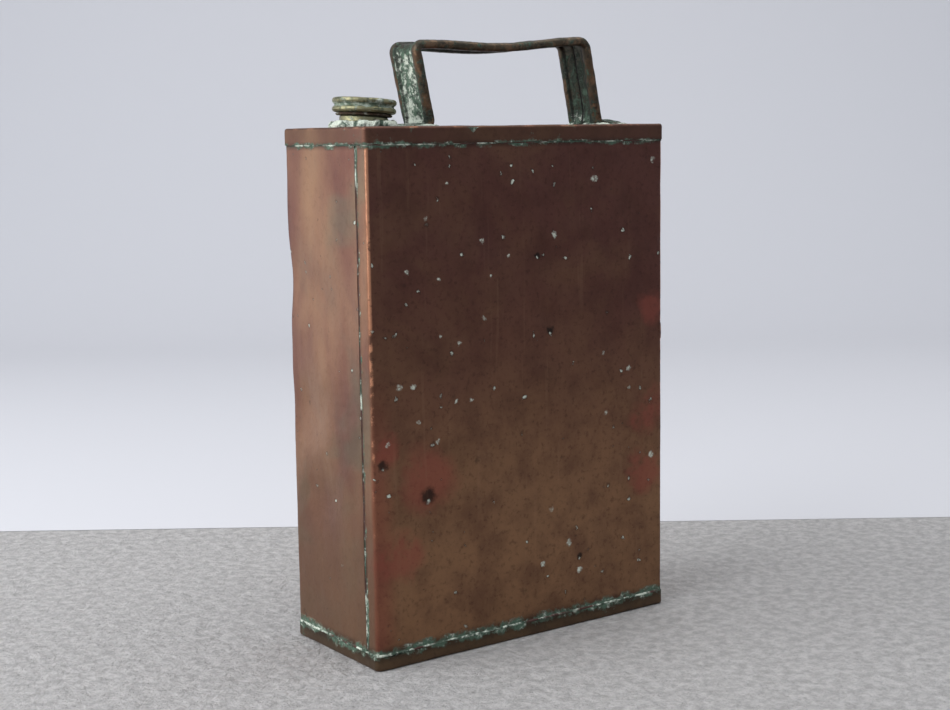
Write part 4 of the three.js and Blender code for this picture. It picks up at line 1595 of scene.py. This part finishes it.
class OILCAN_OT_stage(bpy.types.Operator):
    """Build the pale floor and backdrop, the soft lights and the camera"""

    bl_idname = "oilcan.stage"
    bl_label = "Stage"

    def execute(self, context):
        self.sweep()
        self.lights()
        self.camera()
        return {"FINISHED"}

    def sweep(self):
        """A floor that curves up into a backdrop behind the can."""
        width, depth, wall_height, bend = 8.0, 6.0, 3.0, 0.6
        start_plate((0, WALL_BEHIND - depth / 2, 0), width, depth)
        pick("EDGE", lambda middle, way: middle.y > WALL_BEHIND - bend)
        bpy.ops.mesh.extrude_edges_move(TRANSFORM_OT_translate={"value": (0, 0, wall_height)})
        at_foot = WALL_BEHIND - bend
        pick("EDGE", lambda middle, way: middle.z < bend and middle.y > at_foot and runs_along(way, 0))
        bpy.ops.mesh.bevel(offset=bend, segments=12, affect="EDGES")
        bpy.ops.object.mode_set(mode="OBJECT")
        sweep = bpy.context.object
        sweep.name = "studio_sweep"
        sweep.rotation_euler = (0, 0, -CAMERA_HEADING)
        bpy.ops.object.transform_apply()
        sweep.data.materials.append(self.sweep_finish())
        bpy.ops.object.shade_smooth_by_angle(angle=math.radians(40))

    def sweep_finish(self):
        paints = settings().colours
        finish = Finish("studio_cloth", 0.0, 0.9)
        behind = finish.node("ShaderNodeVectorMath", operation="DOT_PRODUCT")
        finish.link(finish.place, behind.inputs[0])
        behind.inputs[1].default_value = (math.sin(CAMERA_HEADING), math.cos(CAMERA_HEADING), 0.0)
        past_mat = finish.between(behind.outputs["Value"], MAT_BEHIND - MM, MAT_BEHIND + MM)
        grain = finish.between(finish.noise(0.0034, 6.0, 0.72), 0.35, 0.65)
        floor = finish.mix(grain, tone(paints.floor, 0.78), tone(paints.floor, 1.12))
        ground = finish.mix(past_mat, floor, paints.backdrop)
        finish.paint(base=ground)
        nap = finish.both(finish.noise(0.0038, 6.0, 0.68), finish.maths("SUBTRACT", 1.0, past_mat))
        finish.bump((nap, 0.008))
        return finish.material

    def lights(self):
        world = bpy.data.worlds.new("studio_air")
        bpy.context.scene.world = world
        world.use_nodes = True
        air = world.node_tree.nodes["Background"]
        air.inputs["Color"].default_value = (0.80, 0.88, 1.0, 1.0)
        air.inputs["Strength"].default_value = 0.5
        self.panel("window_light", (-1.5, 0.15, 1.0), 1.6, 29.0, (0.95, 0.97, 1.0))
        self.panel("top_light", (0.5, -0.1, 1.9), 1.6, 17.0, (1.0, 0.98, 0.95))
        self.panel("side_light", (-0.95, 1.05, 0.45), 0.9, 2.2, (1.0, 1.0, 0.98))

    def panel(self, name, place, size, power, tint):
        deselect_all()
        bpy.ops.object.light_add(type="AREA", location=place)
        lamp = bpy.context.object
        lamp.name = name
        lamp.data.size = size
        lamp.data.energy = power
        lamp.data.color = tint
        aim = Vector((0, 0, 0.15)) - Vector(place)
        lamp.rotation_euler = aim.to_track_quat("-Z", "Y").to_euler()

    def camera(self):
        forward, right, up = view_vectors()
        bpy.ops.object.camera_add()
        camera = bpy.context.object
        camera.name = "studio_camera"
        turned = Matrix((right, up, -forward)).transposed()
        camera.matrix_world = Matrix.Translation(CAMERA_PLACE) @ turned.to_4x4()
        camera.data.sensor_width = 36.0
        camera.data.lens = CAMERA_LENS
        camera.data.clip_start = 0.01
        bpy.context.scene.camera = camera
        bpy.context.scene.view_settings.view_transform = "Standard"


# ------------------------------------------------------------------ panel and registration
PIECES = (
    OILCAN_OT_front_shell,
    OILCAN_OT_back_shell,
    OILCAN_OT_ends,
    OILCAN_OT_seam_solder,
    OILCAN_OT_handle,
    OILCAN_OT_handle_solder,
    OILCAN_OT_filler,
    OILCAN_OT_stopper,
    OILCAN_OT_stage,
)


class OILCAN_PT_panel(bpy.types.Panel):
    """Buttons for the pieces, and the settings they read"""

    bl_label = "Copper Oil Can"
    bl_space_type = "VIEW_3D"
    bl_region_type = "UI"
    bl_category = "Oil Can"

    def draw(self, context):
        for piece in PIECES:
            self.layout.operator(piece.bl_idname)
        for group in (
            settings().body,
            settings().handle,
            settings().filler,
            settings().colours,
        ):
            box = self.layout.box()
            for name in group.__annotations__:
                box.prop(group, name)


CLASSES = (
    BodySettings,
    HandleSettings,
    FillerSettings,
    ColourSettings,
    OilCanSettings,
    *PIECES,
    OILCAN_PT_panel,
)


def register():
    for made in CLASSES:
        bpy.utils.register_class(made)
    bpy.types.Scene.oil_can = bpy.props.PointerProperty(type=OilCanSettings)


def unregister():
    del bpy.types.Scene.oil_can
    for made in reversed(CLASSES):
        bpy.utils.unregister_class(made)


def main():
    register()
    for piece in PIECES:
        group, name = piece.bl_idname.split(".")
        getattr(getattr(bpy.ops, group), name)()


if __name__ == "__main__":
    main()
